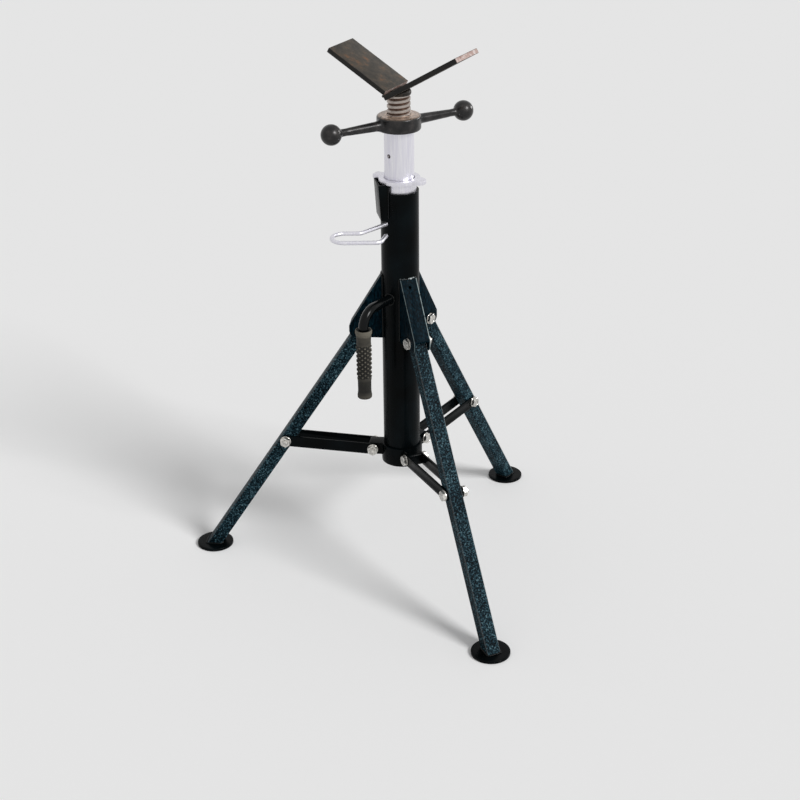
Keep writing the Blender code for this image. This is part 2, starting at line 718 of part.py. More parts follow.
# The three legs with their hoods, feet, braces, bolts and nuts
for name, station in stations.items():
    pivot = (PIVOT_REACH, 0, PIVOT_HEIGHT)
    node("hood_" + name, hood, BLACK_PAINT, station, pivot)
    node("hood_bolt_" + name, hood_bolt, ZINC, station, (PIVOT_REACH, -hood_face, PIVOT_HEIGHT), face_minus_y)
    node("hood_nut_" + name, plain_nut, ZINC, station, (PIVOT_REACH, hood_face, PIVOT_HEIGHT), face_plus_y)
    leg_fold = empty("leg_fold_" + name, station, pivot)
    node("leg_" + name, leg, TEXTURED_PAINT, leg_fold)
    node("foot_" + name, foot, BLACK_PAINT, leg_fold, (foot_reach - PIVOT_REACH, 0, -PIVOT_HEIGHT))
    node("leg_pin_" + name, leg_pin, ZINC, leg_fold, (leg_bolt_x, 0, leg_bolt_z), face_minus_y)
    lug_place = (LUG_BOLT_REACH, 0, lug_bolt_height)
    node("lug_bolt_" + name, lug_bolt, ZINC, station, (LUG_BOLT_REACH, -grip_half, lug_bolt_height), face_minus_y)
    node("lug_nut_" + name, plain_nut, ZINC, station, (LUG_BOLT_REACH, grip_half, lug_bolt_height), face_plus_y)
    brace_fold = empty("brace_fold_" + name, station, lug_place)
    bar_offset = (brace_inner_face + brace_outer_face) / 2
    sloped = (0, -brace_slope, 0)
    node("brace_" + name + "_a", brace, BLACK_PAINT, brace_fold, (0, -bar_offset, 0), sloped)
    node("brace_" + name + "_b", brace, BLACK_PAINT, brace_fold, (0, bar_offset, 0), sloped)
    node("brace_bolt_" + name, short_bolt, ZINC, brace_fold, (brace_run, -grip_half, brace_rise), face_minus_y)
    node("brace_nut_" + name, capped_nut, ZINC, brace_fold, (brace_run, grip_half, brace_rise), face_plus_y)

# Lock bracket: a channel with a leaning web, welded to the column under the plate's tail
bracket_top = BUSH_TOP
bracket_station = empty("bracket_station", stand, (0, 0, 0), BRACKET_AZIMUTH)
bracket_outline = [
    (BRACKET_SIDE_REACH, BRACKET_BOTTOM),
    (BRACKET_BOTTOM_REACH, BRACKET_BOTTOM),
    (BRACKET_TOP_REACH, bracket_top),
    (BRACKET_SIDE_REACH, bracket_top),
]
bracket_rise = bracket_top - BRACKET_BOTTOM
lean = (BRACKET_TOP_REACH - BRACKET_BOTTOM_REACH) / bracket_rise
bracket_hollow_outline = [
    (0, BRACKET_BOTTOM - CUT_OVERRUN),
    (BRACKET_BOTTOM_REACH - BRACKET_WALL - lean * CUT_OVERRUN, BRACKET_BOTTOM - CUT_OVERRUN),
    (BRACKET_TOP_REACH - BRACKET_WALL + lean * CUT_OVERRUN, bracket_top + CUT_OVERRUN),
    (0, bracket_top + CUT_OVERRUN),
]
bracket_half = BRACKET_HALF_WIDTH
hollow_half = BRACKET_HALF_WIDTH - BRACKET_WALL
bracket = side_slab("bracket", bracket_outline, -bracket_half, bracket_half)
bracket_hollow = side_slab("bracket_hollow", bracket_hollow_outline, -hollow_half, hollow_half)
bracket_saddle = cylinder(
    "bracket_saddle",
    column_radius + TOUCH_GAP,
    BRACKET_BOTTOM - CUT_OVERRUN,
    bracket_top + CUT_OVERRUN,
    COLUMN_SIDES,
)
node("lock_bracket", cut(bracket, [bracket_hollow, bracket_saddle]), BLACK_PAINT, bracket_station)

# Lock plate: a ring with a round tab and a square tail, loose round the inner tube
plate_station = empty("plate_station", stand, (0, 0, plate_bottom), PLATE_AZIMUTH)
ring = cylinder("ring", PLATE_RING_RADIUS, 0, PLATE_THICKNESS, COLUMN_SIDES)
half_tail = PLATE_TAIL_WIDTH / 2
tail_outline = rounded(
    [
        (0, -half_tail, 0),
        (PLATE_TAIL_REACH, -half_tail, PLATE_TAIL_CORNER),
        (PLATE_TAIL_REACH, half_tail, PLATE_TAIL_CORNER),
        (0, half_tail, 0),
    ]
)
tail = slab("tail", [tail_outline], 0, PLATE_THICKNESS)
tab_outline = rounded(
    [
        (0, PLATE_TAB_RADIUS, 0),
        (-PLATE_TAB_REACH, PLATE_TAB_RADIUS, PLATE_TAB_RADIUS),
        (-PLATE_TAB_REACH, -PLATE_TAB_RADIUS, PLATE_TAB_RADIUS),
        (0, -PLATE_TAB_RADIUS, 0),
    ]
)
tab = slab("tab", [tab_outline], 0, PLATE_THICKNESS)
plate_bore = cylinder(
    "plate_bore",
    inner_radius + PLATE_BORE_GAP,
    -CUT_OVERRUN,
    PLATE_THICKNESS + CUT_OVERRUN,
    COLUMN_SIDES,
)
plate = cut(join(ring, [tail, tab]), [plate_bore])
node("lock_plate", plate, BRIGHT_STEEL, plate_station)

# Locking pin: straight through the column's wall, then bent round into a flat D loop
pin_tip = inner_radius + TOUCH_GAP
elbow_reach = LOOP_FAR_ROW / math.sin(PIN_AZIMUTH)
pin_path = rounded(
    [
        (pin_tip * math.cos(PIN_AZIMUTH), pin_tip * math.sin(PIN_AZIMUTH), 0),
        (elbow_reach * math.cos(PIN_AZIMUTH), LOOP_FAR_ROW, PIN_BEND_RADIUS),
        (LOOP_OUTER_END, LOOP_FAR_ROW, LOOP_OUTER_RADIUS),
        (LOOP_OUTER_END, LOOP_NEAR_ROW, LOOP_OUTER_RADIUS),
        (LOOP_INNER_CORNER_X, LOOP_NEAR_ROW, LOOP_INNER_RADIUS),
        (LOOP_END_X, LOOP_END_Y, 0),
    ],
    closed=False,
)
pin = rod("pin", [(x, y, 0) for x, y in pin_path], PIN_RADIUS, 3)
moved(pin, Matrix.Rotation(-PIN_AZIMUTH, 4, "Z"))
node("locking_pin", pin, BRIGHT_STEEL, pin_station)

# Carry handle: a tube bent down at its outer end, with a rubber grip pushed on
handle_station = empty("handle_station", stand, (0, 0, 0), HANDLE_AZIMUTH)
handle_path = rounded(
    [
        (column_bore_radius, HANDLE_ROOT_HEIGHT, 0),
        (HANDLE_REACH, HANDLE_ROOT_HEIGHT, HANDLE_BEND_RADIUS),
        (HANDLE_REACH, handle_end, 0),
    ],
    closed=False,
)
handle = rod("handle", [(x, 0, z) for x, z in handle_path], HANDLE_RADIUS, 3)
handle_saddle = cylinder(
    "handle_saddle",
    column_radius + TOUCH_GAP,
    HANDLE_ROOT_HEIGHT - CUT_OVERRUN,
    HANDLE_ROOT_HEIGHT + CUT_OVERRUN,
    COLUMN_SIDES,
)
node("carry_handle", cut(handle, [handle_saddle]), BLACK_PAINT, handle_station)
grip_bore = HANDLE_RADIUS + TOUCH_GAP
grip_floor = GRIP_END_WALL
flange_low = GRIP_LENGTH - GRIP_FLANGE_HEIGHT
grip_profile = [
    (0, grip_floor),
    (grip_bore, grip_floor),
    (grip_bore, GRIP_LENGTH),
    (GRIP_FLANGE_RADIUS, GRIP_LENGTH),
    (GRIP_FLANGE_RADIUS, flange_low),
    (GRIP_RADIUS, flange_low - GRIP_FLANGE_HEIGHT / 2),
    (GRIP_RADIUS, GRIP_FOOT_HEIGHT + GRIP_FLANGE_HEIGHT / 2),
    (GRIP_FOOT_RADIUS, GRIP_FOOT_HEIGHT),
    (GRIP_FOOT_RADIUS, 0),
    (0, 0),
]
grip = turned("grip", grip_profile, ROUND_SIDES, False)
grip_low = handle_end - GRIP_END_WALL - TOUCH_GAP
node("handle_grip", grip, RUBBER, handle_station, (HANDLE_REACH, 0, grip_low))
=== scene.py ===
import math

import bpy
from mathutils import Matrix, Vector


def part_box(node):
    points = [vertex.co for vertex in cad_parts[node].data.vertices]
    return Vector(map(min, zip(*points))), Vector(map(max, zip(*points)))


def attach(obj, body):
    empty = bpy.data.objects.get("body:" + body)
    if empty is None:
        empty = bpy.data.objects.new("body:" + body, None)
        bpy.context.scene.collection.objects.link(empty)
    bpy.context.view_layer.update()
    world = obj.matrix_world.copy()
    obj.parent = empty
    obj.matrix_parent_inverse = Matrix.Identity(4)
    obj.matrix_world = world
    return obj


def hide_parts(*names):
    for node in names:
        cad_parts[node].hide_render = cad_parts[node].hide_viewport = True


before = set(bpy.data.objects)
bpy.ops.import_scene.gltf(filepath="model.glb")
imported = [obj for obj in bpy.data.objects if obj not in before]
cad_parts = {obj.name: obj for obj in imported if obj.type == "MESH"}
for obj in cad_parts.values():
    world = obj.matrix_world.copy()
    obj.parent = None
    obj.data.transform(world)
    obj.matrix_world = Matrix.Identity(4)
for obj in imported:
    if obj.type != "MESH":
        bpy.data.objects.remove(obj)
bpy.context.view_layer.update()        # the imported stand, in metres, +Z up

mm = 0.001


def clearSelection():
    if bpy.context.object and bpy.context.object.mode != "OBJECT":
        bpy.ops.object.mode_set(mode="OBJECT")
    bpy.ops.object.select_all(action="DESELECT")


def pick(piece):
    clearSelection()
    piece.select_set(True)
    bpy.context.view_layer.objects.active = piece


def editAll(piece):
    pick(piece)
    bpy.ops.object.mode_set(mode="EDIT")
    bpy.ops.mesh.select_mode(type="VERT")
    bpy.ops.mesh.select_all(action="SELECT")


def leaveEdit():
    bpy.ops.object.mode_set(mode="OBJECT")


def linear(hexColour):
    # sRGB hex such as "#1b2628" to the linear values that the shader wants
    parts = [int(hexColour[i:i + 2], 16) / 255 for i in (1, 3, 5)]
    out = [c / 12.92 if c <= 0.04045 else ((c + 0.055) / 1.055) ** 2.4 for c in parts]
    return (*out, 1.0)


def put(piece, place=(0, 0, 0), turn=None):
    # moves a piece to its place and settles it into its mesh
    pick(piece)
    piece.matrix_world = Matrix.Translation(place) @ (turn or Matrix.Identity(4)) @ piece.matrix_world
    bpy.ops.object.transform_apply(location=True, rotation=True, scale=True)
    return piece


def copyOf(piece):
    pick(piece)
    bpy.ops.object.duplicate(linked=False)
    return bpy.context.active_object


def useModifier(piece, kind, **settings):
    pick(piece)
    modifier = piece.modifiers.new(kind.title(), kind)
    for key, value in settings.items():
        setattr(modifier, key, value)
    bpy.ops.object.modifier_apply(modifier=modifier.name)


def smooth(piece, degrees):
    pick(piece)
    bpy.ops.object.shade_smooth_by_angle(angle=math.radians(degrees))
    return piece


def tidyShell(piece, distance=0.02 * mm):
    editAll(piece)
    bpy.ops.mesh.remove_doubles(threshold=distance)
    bpy.ops.mesh.normals_make_consistent(inside=False)
    leaveEdit()
    return piece


def roundRod(radius, length, sides, height=0):
    # a plain upright cylinder, for cutting bores and saddles
    clearSelection()
    bpy.ops.mesh.primitive_cylinder_add(vertices=sides, radius=radius, depth=length, location=(0, 0, height))
    return bpy.context.active_object


def turnPiece(rings, sides):
    # rings of (radius, height), drawn out one after another from a circle, with both ends closed
    clearSelection()
    radius, height = rings[0]
    bpy.ops.mesh.primitive_circle_add(
        vertices=sides, radius=radius, fill_type="NOTHING", location=(0, 0, height))
    piece = bpy.context.active_object
    bpy.ops.object.transform_apply(location=True, rotation=True, scale=True)
    editAll(piece)
    for nextRadius, nextHeight in rings[1:]:
        bpy.ops.mesh.extrude_region_move(
            TRANSFORM_OT_translate={"value": (0, 0, nextHeight - height)})
        ratio = nextRadius / radius
        bpy.ops.transform.resize(value=(ratio, ratio, 1), center_override=(0, 0, nextHeight))
        radius, height = nextRadius, nextHeight
    bpy.ops.mesh.edge_face_add()
    bpy.ops.mesh.select_all(action="DESELECT")
    bpy.ops.mesh.select_non_manifold()
    bpy.ops.mesh.edge_face_add()
    leaveEdit()
    return tidyShell(piece)


def bentRod(points, radius, sides, swell=None):
    # a round bar along the points, from a curve with a bevel
    clearSelection()
    bpy.ops.curve.primitive_bezier_curve_add()
    curve = bpy.context.active_object
    curve.matrix_world = Matrix.Identity(4)
    curve.data.splines.clear()
    spline = curve.data.splines.new("POLY")
    spline.points.add(len(points) - 1)
    for i, (point, place) in enumerate(zip(spline.points, points)):
        point.co = (*place, 1)
        point.radius = swell(i) if swell else 1
    curve.data.dimensions = "3D"
    curve.data.bevel_depth = radius
    curve.data.bevel_resolution = sides // 2 - 2
    curve.data.use_fill_caps = True
    bpy.ops.object.convert(target="MESH")
    return tidyShell(bpy.context.active_object)


def roundedPath(corners, steps):
    # (point, bend radius) corners to a smooth path
    path = []
    for i, (corner, radius) in enumerate(corners):
        corner = Vector(corner)
        if radius <= 0 or i in (0, len(corners) - 1):
            path.append(corner)
            continue
        before = (Vector(corners[i - 1][0]) - corner).normalized()
        after = (Vector(corners[i + 1][0]) - corner).normalized()
        half = before.angle(after) / 2
        centre = corner + (before + after).normalized() * (radius / math.sin(half))
        start = corner + before * (radius / math.tan(half)) - centre
        end = corner + after * (radius / math.tan(half)) - centre
        axis = start.cross(end).normalized()
        sweep = start.angle(end)
        for step in range(steps + 1):
            path.append(centre + Matrix.Rotation(sweep * step / steps, 3, axis) @ start)
    return path


def cutWith(piece, tool, operation="DIFFERENCE"):
    useModifier(piece, "BOOLEAN", operation=operation, object=tool, solver="EXACT")
    bpy.data.objects.remove(tool, do_unlink=True)
    return piece


def finishPiece(piece, name, finish, body, replaced=()):
    piece.name = name
    piece.data.name = name
    piece.data.materials.clear()
    piece.data.materials.append(finish)
    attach(piece, body)
    if replaced:
        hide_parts(*replaced)


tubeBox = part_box("outer_tube")
axisX = (tubeBox[0][0] + tubeBox[1][0]) / 2
axisY = (tubeBox[0][1] + tubeBox[1][1]) / 2
standAxis = Vector((axisX, axisY, 0))
columnRadius = 31.5 * mm
legAzimuths = {"front": -66.0, "back": 54.0, "left": 174.0}


def station(azimuth):
    # the column's axis, with +X turned outwards to a part that stands out there
    return Matrix.Translation(standAxis) @ Matrix.Rotation(math.radians(azimuth), 4, "Z")


viewpoint = {"back": 2.3616, "height": 1.4588, "down": 26.03, "yaw": -0.068, "roll": -0.597,
             "lens": 68.34, "sensor": 36}
down, yaw, roll = (math.radians(viewpoint[key]) for key in ("down", "yaw", "roll"))
forward = Vector((math.sin(yaw) * math.cos(down), math.cos(yaw) * math.cos(down), -math.sin(down)))
right = forward.cross(Vector((0, 0, 1))).normalized()
up = right.cross(forward)
rightRolled = right * math.cos(roll) + up * math.sin(roll)
upRolled = up * math.cos(roll) - right * math.sin(roll)
clearSelection()
bpy.ops.object.camera_add()
camera = bpy.context.active_object
camera.data.lens = viewpoint["lens"]
camera.data.sensor_width = viewpoint["sensor"]
camera.matrix_world = Matrix((
    (rightRolled.x, upRolled.x, -forward.x, axisX),
    (rightRolled.y, upRolled.y, -forward.y, axisY - viewpoint["back"]),
    (rightRolled.z, upRolled.z, -forward.z, viewpoint["height"]),
    (0, 0, 0, 1)))
bpy.context.scene.camera = camera
print("camera set")


def addNode(owner, kind, output=None, inputs=None, stops=(), **settings):
    # one node of a material or the world: its settings, what goes in, a ramp's colours, what comes out
    tree = owner.node_tree
    node = tree.nodes.new("ShaderNode" + kind)
    for key, value in settings.items():
        setattr(node, key, value)
    for key, value in (inputs or {}).items():
        if isinstance(value, bpy.types.NodeSocket):
            tree.links.new(value, node.inputs[key])
        else:
            node.inputs[key].default_value = value
    if stops:
        elements = node.color_ramp.elements
        while len(elements) < len(stops):
            elements.new(0.5)
        for element, (position, colour) in zip(elements, stops):
            element.position = position
            element.color = linear(colour)
    return node.outputs[output] if output else node


def newFinish(name, colour, roughness, metallic, specular=0.5):
    material = bpy.data.materials.new(name)
    material.use_nodes = True
    shader = material.node_tree.nodes["Principled BSDF"]
    shader.inputs["Base Color"].default_value = linear(colour)
    shader.inputs["Roughness"].default_value = roughness
    shader.inputs["Metallic"].default_value = metallic
    shader.inputs["Specular IOR Level"].default_value = specular
    return material, shader, addNode(material, "TexCoord", "Object")


def feed(material, shader, sources):
    for socket, source in sources.items():
        material.node_tree.links.new(source, shader.inputs[socket])


def fromUpright(material, place, middle):
    # distance from the upright line through middle
    offset = addNode(material, "VectorMath", "Vector", {0: place, 1: middle}, operation="SUBTRACT")
    flat = addNode(material, "VectorMath", "Vector", {0: offset, 1: (1, 1, 0)}, operation="MULTIPLY")
    return addNode(material, "VectorMath", "Value", {0: flat}, operation="LENGTH")


def foldShine(material, shader, flat, fold):
    # the rounded corners between a sloping outer face and its upright sides take a polish,
    # so that they catch the light as a thin pale line; their normals rise part of the way
    sideRise, faceRise, halfWay = 0.03, 0.52, 0.2
    lift = addNode(material, "SeparateXYZ", "Z", {"Vector": addNode(material, "TexCoord", "Normal")})
    share = addNode(material, "MapRange", "Result", {
        "Value": lift, "From Min": sideRise, "From Max": faceRise})
    rest = addNode(material, "Math", "Value", {0: 1.0, 1: share}, operation="SUBTRACT")
    both = addNode(material, "Math", "Value", {0: share, 1: rest}, operation="MULTIPLY")
    feed(material, shader, {"Specular IOR Level": addNode(material, "MapRange", "Result", {
        "Value": both, "From Max": halfWay, "To Min": flat, "To Max": fold})})


def makeBlackEnamel():
    # sprayed black alkyd enamel on steel: deep black, soft gloss, slight orange peel
    material, shader, place = newFinish("sprayedBlackEnamel", "#050708", 0.3, 0.0, 0.05)
    broad = addNode(material, "TexNoise", "Fac", {"Vector": place, "Scale": 1 / (45 * mm), "Detail": 3})
    haze = addNode(material, "TexNoise", "Fac", {"Vector": place, "Scale": 1 / (12 * mm), "Detail": 4})
    # real peel is about 1 mm, drawn coarser to show
    peel = addNode(material, "TexNoise", "Fac", {"Vector": place, "Scale": 1 / (2.4 * mm), "Roughness": 0.4})
    feed(material, shader, {
        "Base Color": addNode(material, "ValToRGB", "Color", {"Fac": broad}, [
            (0.3, "#020303"), (0.55, "#04080a"), (0.8, "#081013")]),
        "Roughness": addNode(material, "MapRange", "Result", {"Value": haze, "To Min": 0.2, "To Max": 0.34}),
        "Normal": addNode(material, "Bump", "Normal", {
            "Height": peel, "Distance": 0.12 * mm, "Strength": 0.6})})
    return material


def makeHammertone():
    # hammered black-grey paint on the square tube: small grey-teal dimples over near-black
    material, shader, place = newFinish("hammeredPaint", "#12191b", 0.4, 0.0, 0.04)
    cells = addNode(material, "TexVoronoi", "Distance", {
        "Vector": place, "Scale": 1 / (2.8 * mm), "Smoothness": 0.5, "Randomness": 1.0}, feature="SMOOTH_F1")
    speckle = addNode(material, "TexNoise", "Fac", {
        "Vector": place, "Scale": 1 / (1.9 * mm), "Detail": 4, "Roughness": 0.75})
    drift = addNode(material, "TexNoise", "Fac", {"Vector": place, "Scale": 1 / (30 * mm), "Detail": 3})
    mixed = addNode(material, "Math", "Value", {0: cells, 1: 0.35, 2: speckle}, operation="MULTIPLY_ADD")
    mixed = addNode(material, "Math", "Value", {0: drift, 1: 0.2, 2: mixed}, operation="MULTIPLY_ADD")
    feed(material, shader, {
        "Base Color": addNode(material, "ValToRGB", "Color", {"Fac": mixed}, [
            (0.6, "#010203"), (0.71, "#050d12"), (0.79, "#10222a"), (0.88, "#304b55"), (1.0, "#607a81")]),
        "Roughness": addNode(material, "MapRange", "Result", {"Value": cells, "To Min": 0.28, "To Max": 0.5}),
        "Normal": addNode(material, "Bump", "Normal", {
            "Height": mixed, "Distance": 0.3 * mm, "Strength": 0.8})})
    foldShine(material, shader, 0.018, 0.6)
    return material


# colour and extent of the painted highlight along the hood folds
foldHighlight = {"from": 13.1 * mm, "full": 13.9 * mm, "middle": 1 * mm, "faintSide": 0.35, "faceFrom": 0.2,
            "faceFull": 0.45, "colour": "#93a0a0"}


def makeHoodPaint(side, azimuth):
    # satin black over pressed sheet: near-black with some teal, faint drawn lines down its length,
    # and a painted highlight: a pale line painted in patches along the two folds of the outer face, more on
    # one than on the other
    material, shader, place = newFinish("satinBlackSheet_" + side, "#0b1519", 0.34, 0.0, 0.015)
    stretched = addNode(material, "Mapping", "Vector", {"Vector": place, "Scale": (1, 1, 0.3)})
    drawn = addNode(material, "TexNoise", "Fac", {
        "Vector": stretched, "Scale": 1 / (2.6 * mm), "Detail": 4, "Roughness": 0.65})
    paint = addNode(material, "ValToRGB", "Color", {"Fac": drawn}, [
        (0.36, "#01070b"), (0.52, "#04141c"), (0.64, "#0b242e"), (0.76, "#193742")])
    turn = math.radians(azimuth)
    aside, outwards = (-math.sin(turn), math.cos(turn), 0), (math.cos(turn), math.sin(turn), 0)
    normal = addNode(material, "TexCoord", "Normal")
    offset = addNode(material, "VectorMath", "Vector", {0: place, 1: (axisX, axisY, 0)}, operation="SUBTRACT")
    sideways = addNode(material, "VectorMath", "Value", {0: offset, 1: aside}, operation="DOT_PRODUCT")
    reach = addNode(material, "Math", "Value", {0: sideways}, operation="ABSOLUTE")
    mask = addNode(material, "MapRange", "Result", {
        "Value": reach, "From Min": foldHighlight["from"], "From Max": foldHighlight["full"]})
    outward = addNode(material, "VectorMath", "Value", {0: normal, 1: outwards}, operation="DOT_PRODUCT")
    outerFace = addNode(material, "MapRange", "Result", {
        "Value": outward, "From Min": foldHighlight["faceFrom"], "From Max": foldHighlight["faceFull"]})
    chips = addNode(material, "TexNoise", "Fac", {
        "Vector": place, "Scale": 1 / (7 * mm), "Detail": 4, "Roughness": 0.6})
    patchy = addNode(material, "MapRange", "Result", {"Value": chips, "From Min": 0.3, "From Max": 0.5})
    # painted highlight full on the fold towards the light, faint on the other fold
    lightSideShare = addNode(material, "MapRange", "Result", {
        "Value": sideways, "From Min": -foldHighlight["middle"], "From Max": foldHighlight["middle"],
        "To Min": foldHighlight["faintSide"]})
    for part in (outerFace, patchy, lightSideShare):
        mask = addNode(material, "Math", "Value", {0: mask, 1: part}, operation="MULTIPLY")
    haze = addNode(material, "TexNoise", "Fac", {"Vector": place, "Scale": 1 / (8 * mm), "Detail": 3})
    feed(material, shader, {
        "Base Color": addNode(material, "MixRGB", "Color", {
            "Fac": mask, "Color1": paint, "Color2": linear(foldHighlight["colour"])}),
        "Roughness": addNode(material, "MapRange", "Result", {"Value": haze, "To Min": 0.3, "To Max": 0.44}),
        "Normal": addNode(material, "Bump", "Normal", {
            "Height": drawn, "Distance": 0.06 * mm, "Strength": 0.4})})
    return material


def makeGlossBlack():
    # dipped gloss black on the bent handle tube and over the weld beads, where it pools and shines
    material, shader, place = newFinish("dippedGlossBlack", "#040607", 0.16, 0.0, 0.16)
    haze = addNode(material, "TexNoise", "Fac", {"Vector": place, "Scale": 1 / (3 * mm), "Detail": 3})
    feed(material, shader, {
        "Roughness": addNode(material, "MapRange", "Result", {"Value": haze, "To Min": 0.1, "To Max": 0.26})})
    return material


def makeRubbedWeld():
    # black-painted bead over the hood, with short pale dashes on its ripples painted on as glints (painted
    # highlight)
    material, shader, place = newFinish("weldPaintWithPaintedGlints", "#040607", 0.2, 0.0, 0.3)
    dashes = addNode(material, "TexNoise", "Fac", {"Vector": place, "Scale": 1 / (5 * mm), "Detail": 3})
    feed(material, shader, {
        "Base Color": addNode(material, "ValToRGB", "Color", {"Fac": dashes}, [
            (0.5, "#040709"), (0.56, "#3a4345"), (0.62, "#b4bcbc")]),
        "Roughness": addNode(material, "MapRange", "Result", {
            "Value": dashes, "To Min": 0.14, "To Max": 0.3})})
    return material


def makeBrightTube():
    # drawn steel tube, bright zinc plated: pale, smooth, faint lines along its length
    material, shader, place = newFinish("brightZincTube", "#ececf0", 0.3, 0.85)
    stretched = addNode(material, "Mapping", "Vector", {"Vector": place, "Scale": (1, 1, 0.02)})
    lines = addNode(material, "TexNoise", "Fac", {
        "Vector": stretched, "Scale": 1 / (1.1 * mm), "Detail": 3, "Roughness": 0.6})
    haze = addNode(material, "TexNoise", "Fac", {"Vector": place, "Scale": 1 / (9 * mm), "Detail": 4})
    feed(material, shader, {
        "Base Color": addNode(material, "ValToRGB", "Color", {"Fac": lines}, [
            (0.3, "#d3d1de"), (0.6, "#e6e5ea"), (0.85, "#f3f3f4")]),
        "Roughness": addNode(material, "MapRange", "Result", {"Value": haze, "To Min": 0.27, "To Max": 0.4}),
        "Normal": addNode(material, "Bump", "Normal", {
            "Height": lines, "Distance": 0.03 * mm, "Strength": 0.5})})
    return material


def makeZincHardware():
    # bright zinc on cold-formed bolts: silver with a faint warm bloom
    material, shader, place = newFinish("zincPlatedBolt", "#bdbab2", 0.24, 1.0)
    bloom = addNode(material, "TexNoise", "Fac", {"Vector": place, "Scale": 1 / (4 * mm), "Detail": 3})
    haze = addNode(material, "TexNoise", "Fac", {"Vector": place, "Scale": 1 / (1.5 * mm), "Detail": 3})
    feed(material, shader, {
        "Base Color": addNode(material, "ValToRGB", "Color", {"Fac": bloom}, [
            (0.3, "#a19f9b"), (0.55, "#d2d0cb"), (0.8, "#e9e5dc")]),
        "Roughness": addNode(material, "MapRange", "Result", {"Value": haze, "To Min": 0.18, "To Max": 0.4})})
    return material


rimWear = {"from": 22.6 * mm, "full": 25.6 * mm, "hub": 38.5 * mm, "colour": "#cdb3a0"}


def makeCastIron(nutLow):
    # sand-cast iron, oiled: dark grey skin with the sand's grain, rubbed pale on the hub's top rim
    material, shader, place = newFinish("sandCastIron", "#262524", 0.32, 0.45, 0.5)
    blotch = addNode(material, "TexNoise", "Fac", {
        "Vector": place, "Scale": 1 / (14 * mm), "Detail": 4, "Roughness": 0.6})
    skin = addNode(material, "ValToRGB", "Color", {"Fac": blotch}, [
        (0.3, "#121212"), (0.5, "#212020"), (0.66, "#353231"), (0.8, "#524a45")])
    height = addNode(material, "SeparateXYZ", "Z", {"Vector": place})
    mask = addNode(material, "MapRange", "Result", {
        "Value": height, "From Min": nutLow + rimWear["from"], "From Max": nutLow + rimWear["full"]})
    reach = fromUpright(material, place, (axisX, axisY, 0))
    inHub = addNode(material, "Math", "Value", {0: reach, 1: rimWear["hub"]}, operation="LESS_THAN")
    chips = addNode(material, "TexNoise", "Fac", {
        "Vector": place, "Scale": 1 / (5 * mm), "Detail": 4, "Roughness": 0.6})
    patchy = addNode(material, "MapRange", "Result", {"Value": chips, "From Min": 0.3, "From Max": 0.52})
    for part in (inHub, patchy):
        mask = addNode(material, "Math", "Value", {0: mask, 1: part}, operation="MULTIPLY")
    sand = addNode(material, "TexNoise", "Fac", {
        "Vector": place, "Scale": 1 / (1.1 * mm), "Detail": 3, "Roughness": 0.6})
    feed(material, shader, {
        "Base Color": addNode(material, "MixRGB", "Color", {
            "Fac": mask, "Color1": skin, "Color2": linear(rimWear["colour"])}),
        "Roughness": addNode(material, "MapRange", "Result", {"Value": sand, "To Min": 0.2, "To Max": 0.38}),
        "Normal": addNode(material, "Bump", "Normal", {
            "Height": sand, "Distance": 0.12 * mm, "Strength": 0.6})})
    return material


def makeThreadSteel():
    # machined bare steel, oiled: bright crests, brown oil and rust bloom in the roots
    material, shader, place = newFinish("oiledThreadSteel", "#b4aaa2", 0.34, 0.9)
    reach = fromUpright(material, place, (axisX, axisY, 0))
    crest = addNode(material, "MapRange", "Result", {
        "Value": reach, "From Min": 16.6 * mm, "From Max": 18.8 * mm})
    oil = addNode(material, "TexNoise", "Fac", {
        "Vector": place, "Scale": 1 / (5 * mm), "Detail": 4, "Roughness": 0.6})
    smear = addNode(material, "Math", "Value", {0: oil, 1: 0.5, 2: crest}, operation="MULTIPLY_ADD")
    haze = addNode(material, "TexNoise", "Fac", {"Vector": place, "Scale": 1 / (3 * mm), "Detail": 3})
    feed(material, shader, {
        "Base Color": addNode(material, "ValToRGB", "Color", {"Fac": smear}, [
            (0.25, "#46332a"), (0.5, "#735b4f"), (0.8, "#8f8178"), (1.0, "#ada49d")]),
        "Roughness": addNode(material, "MapRange", "Result", {"Value": haze, "To Min": 0.32, "To Max": 0.5})})
    return material


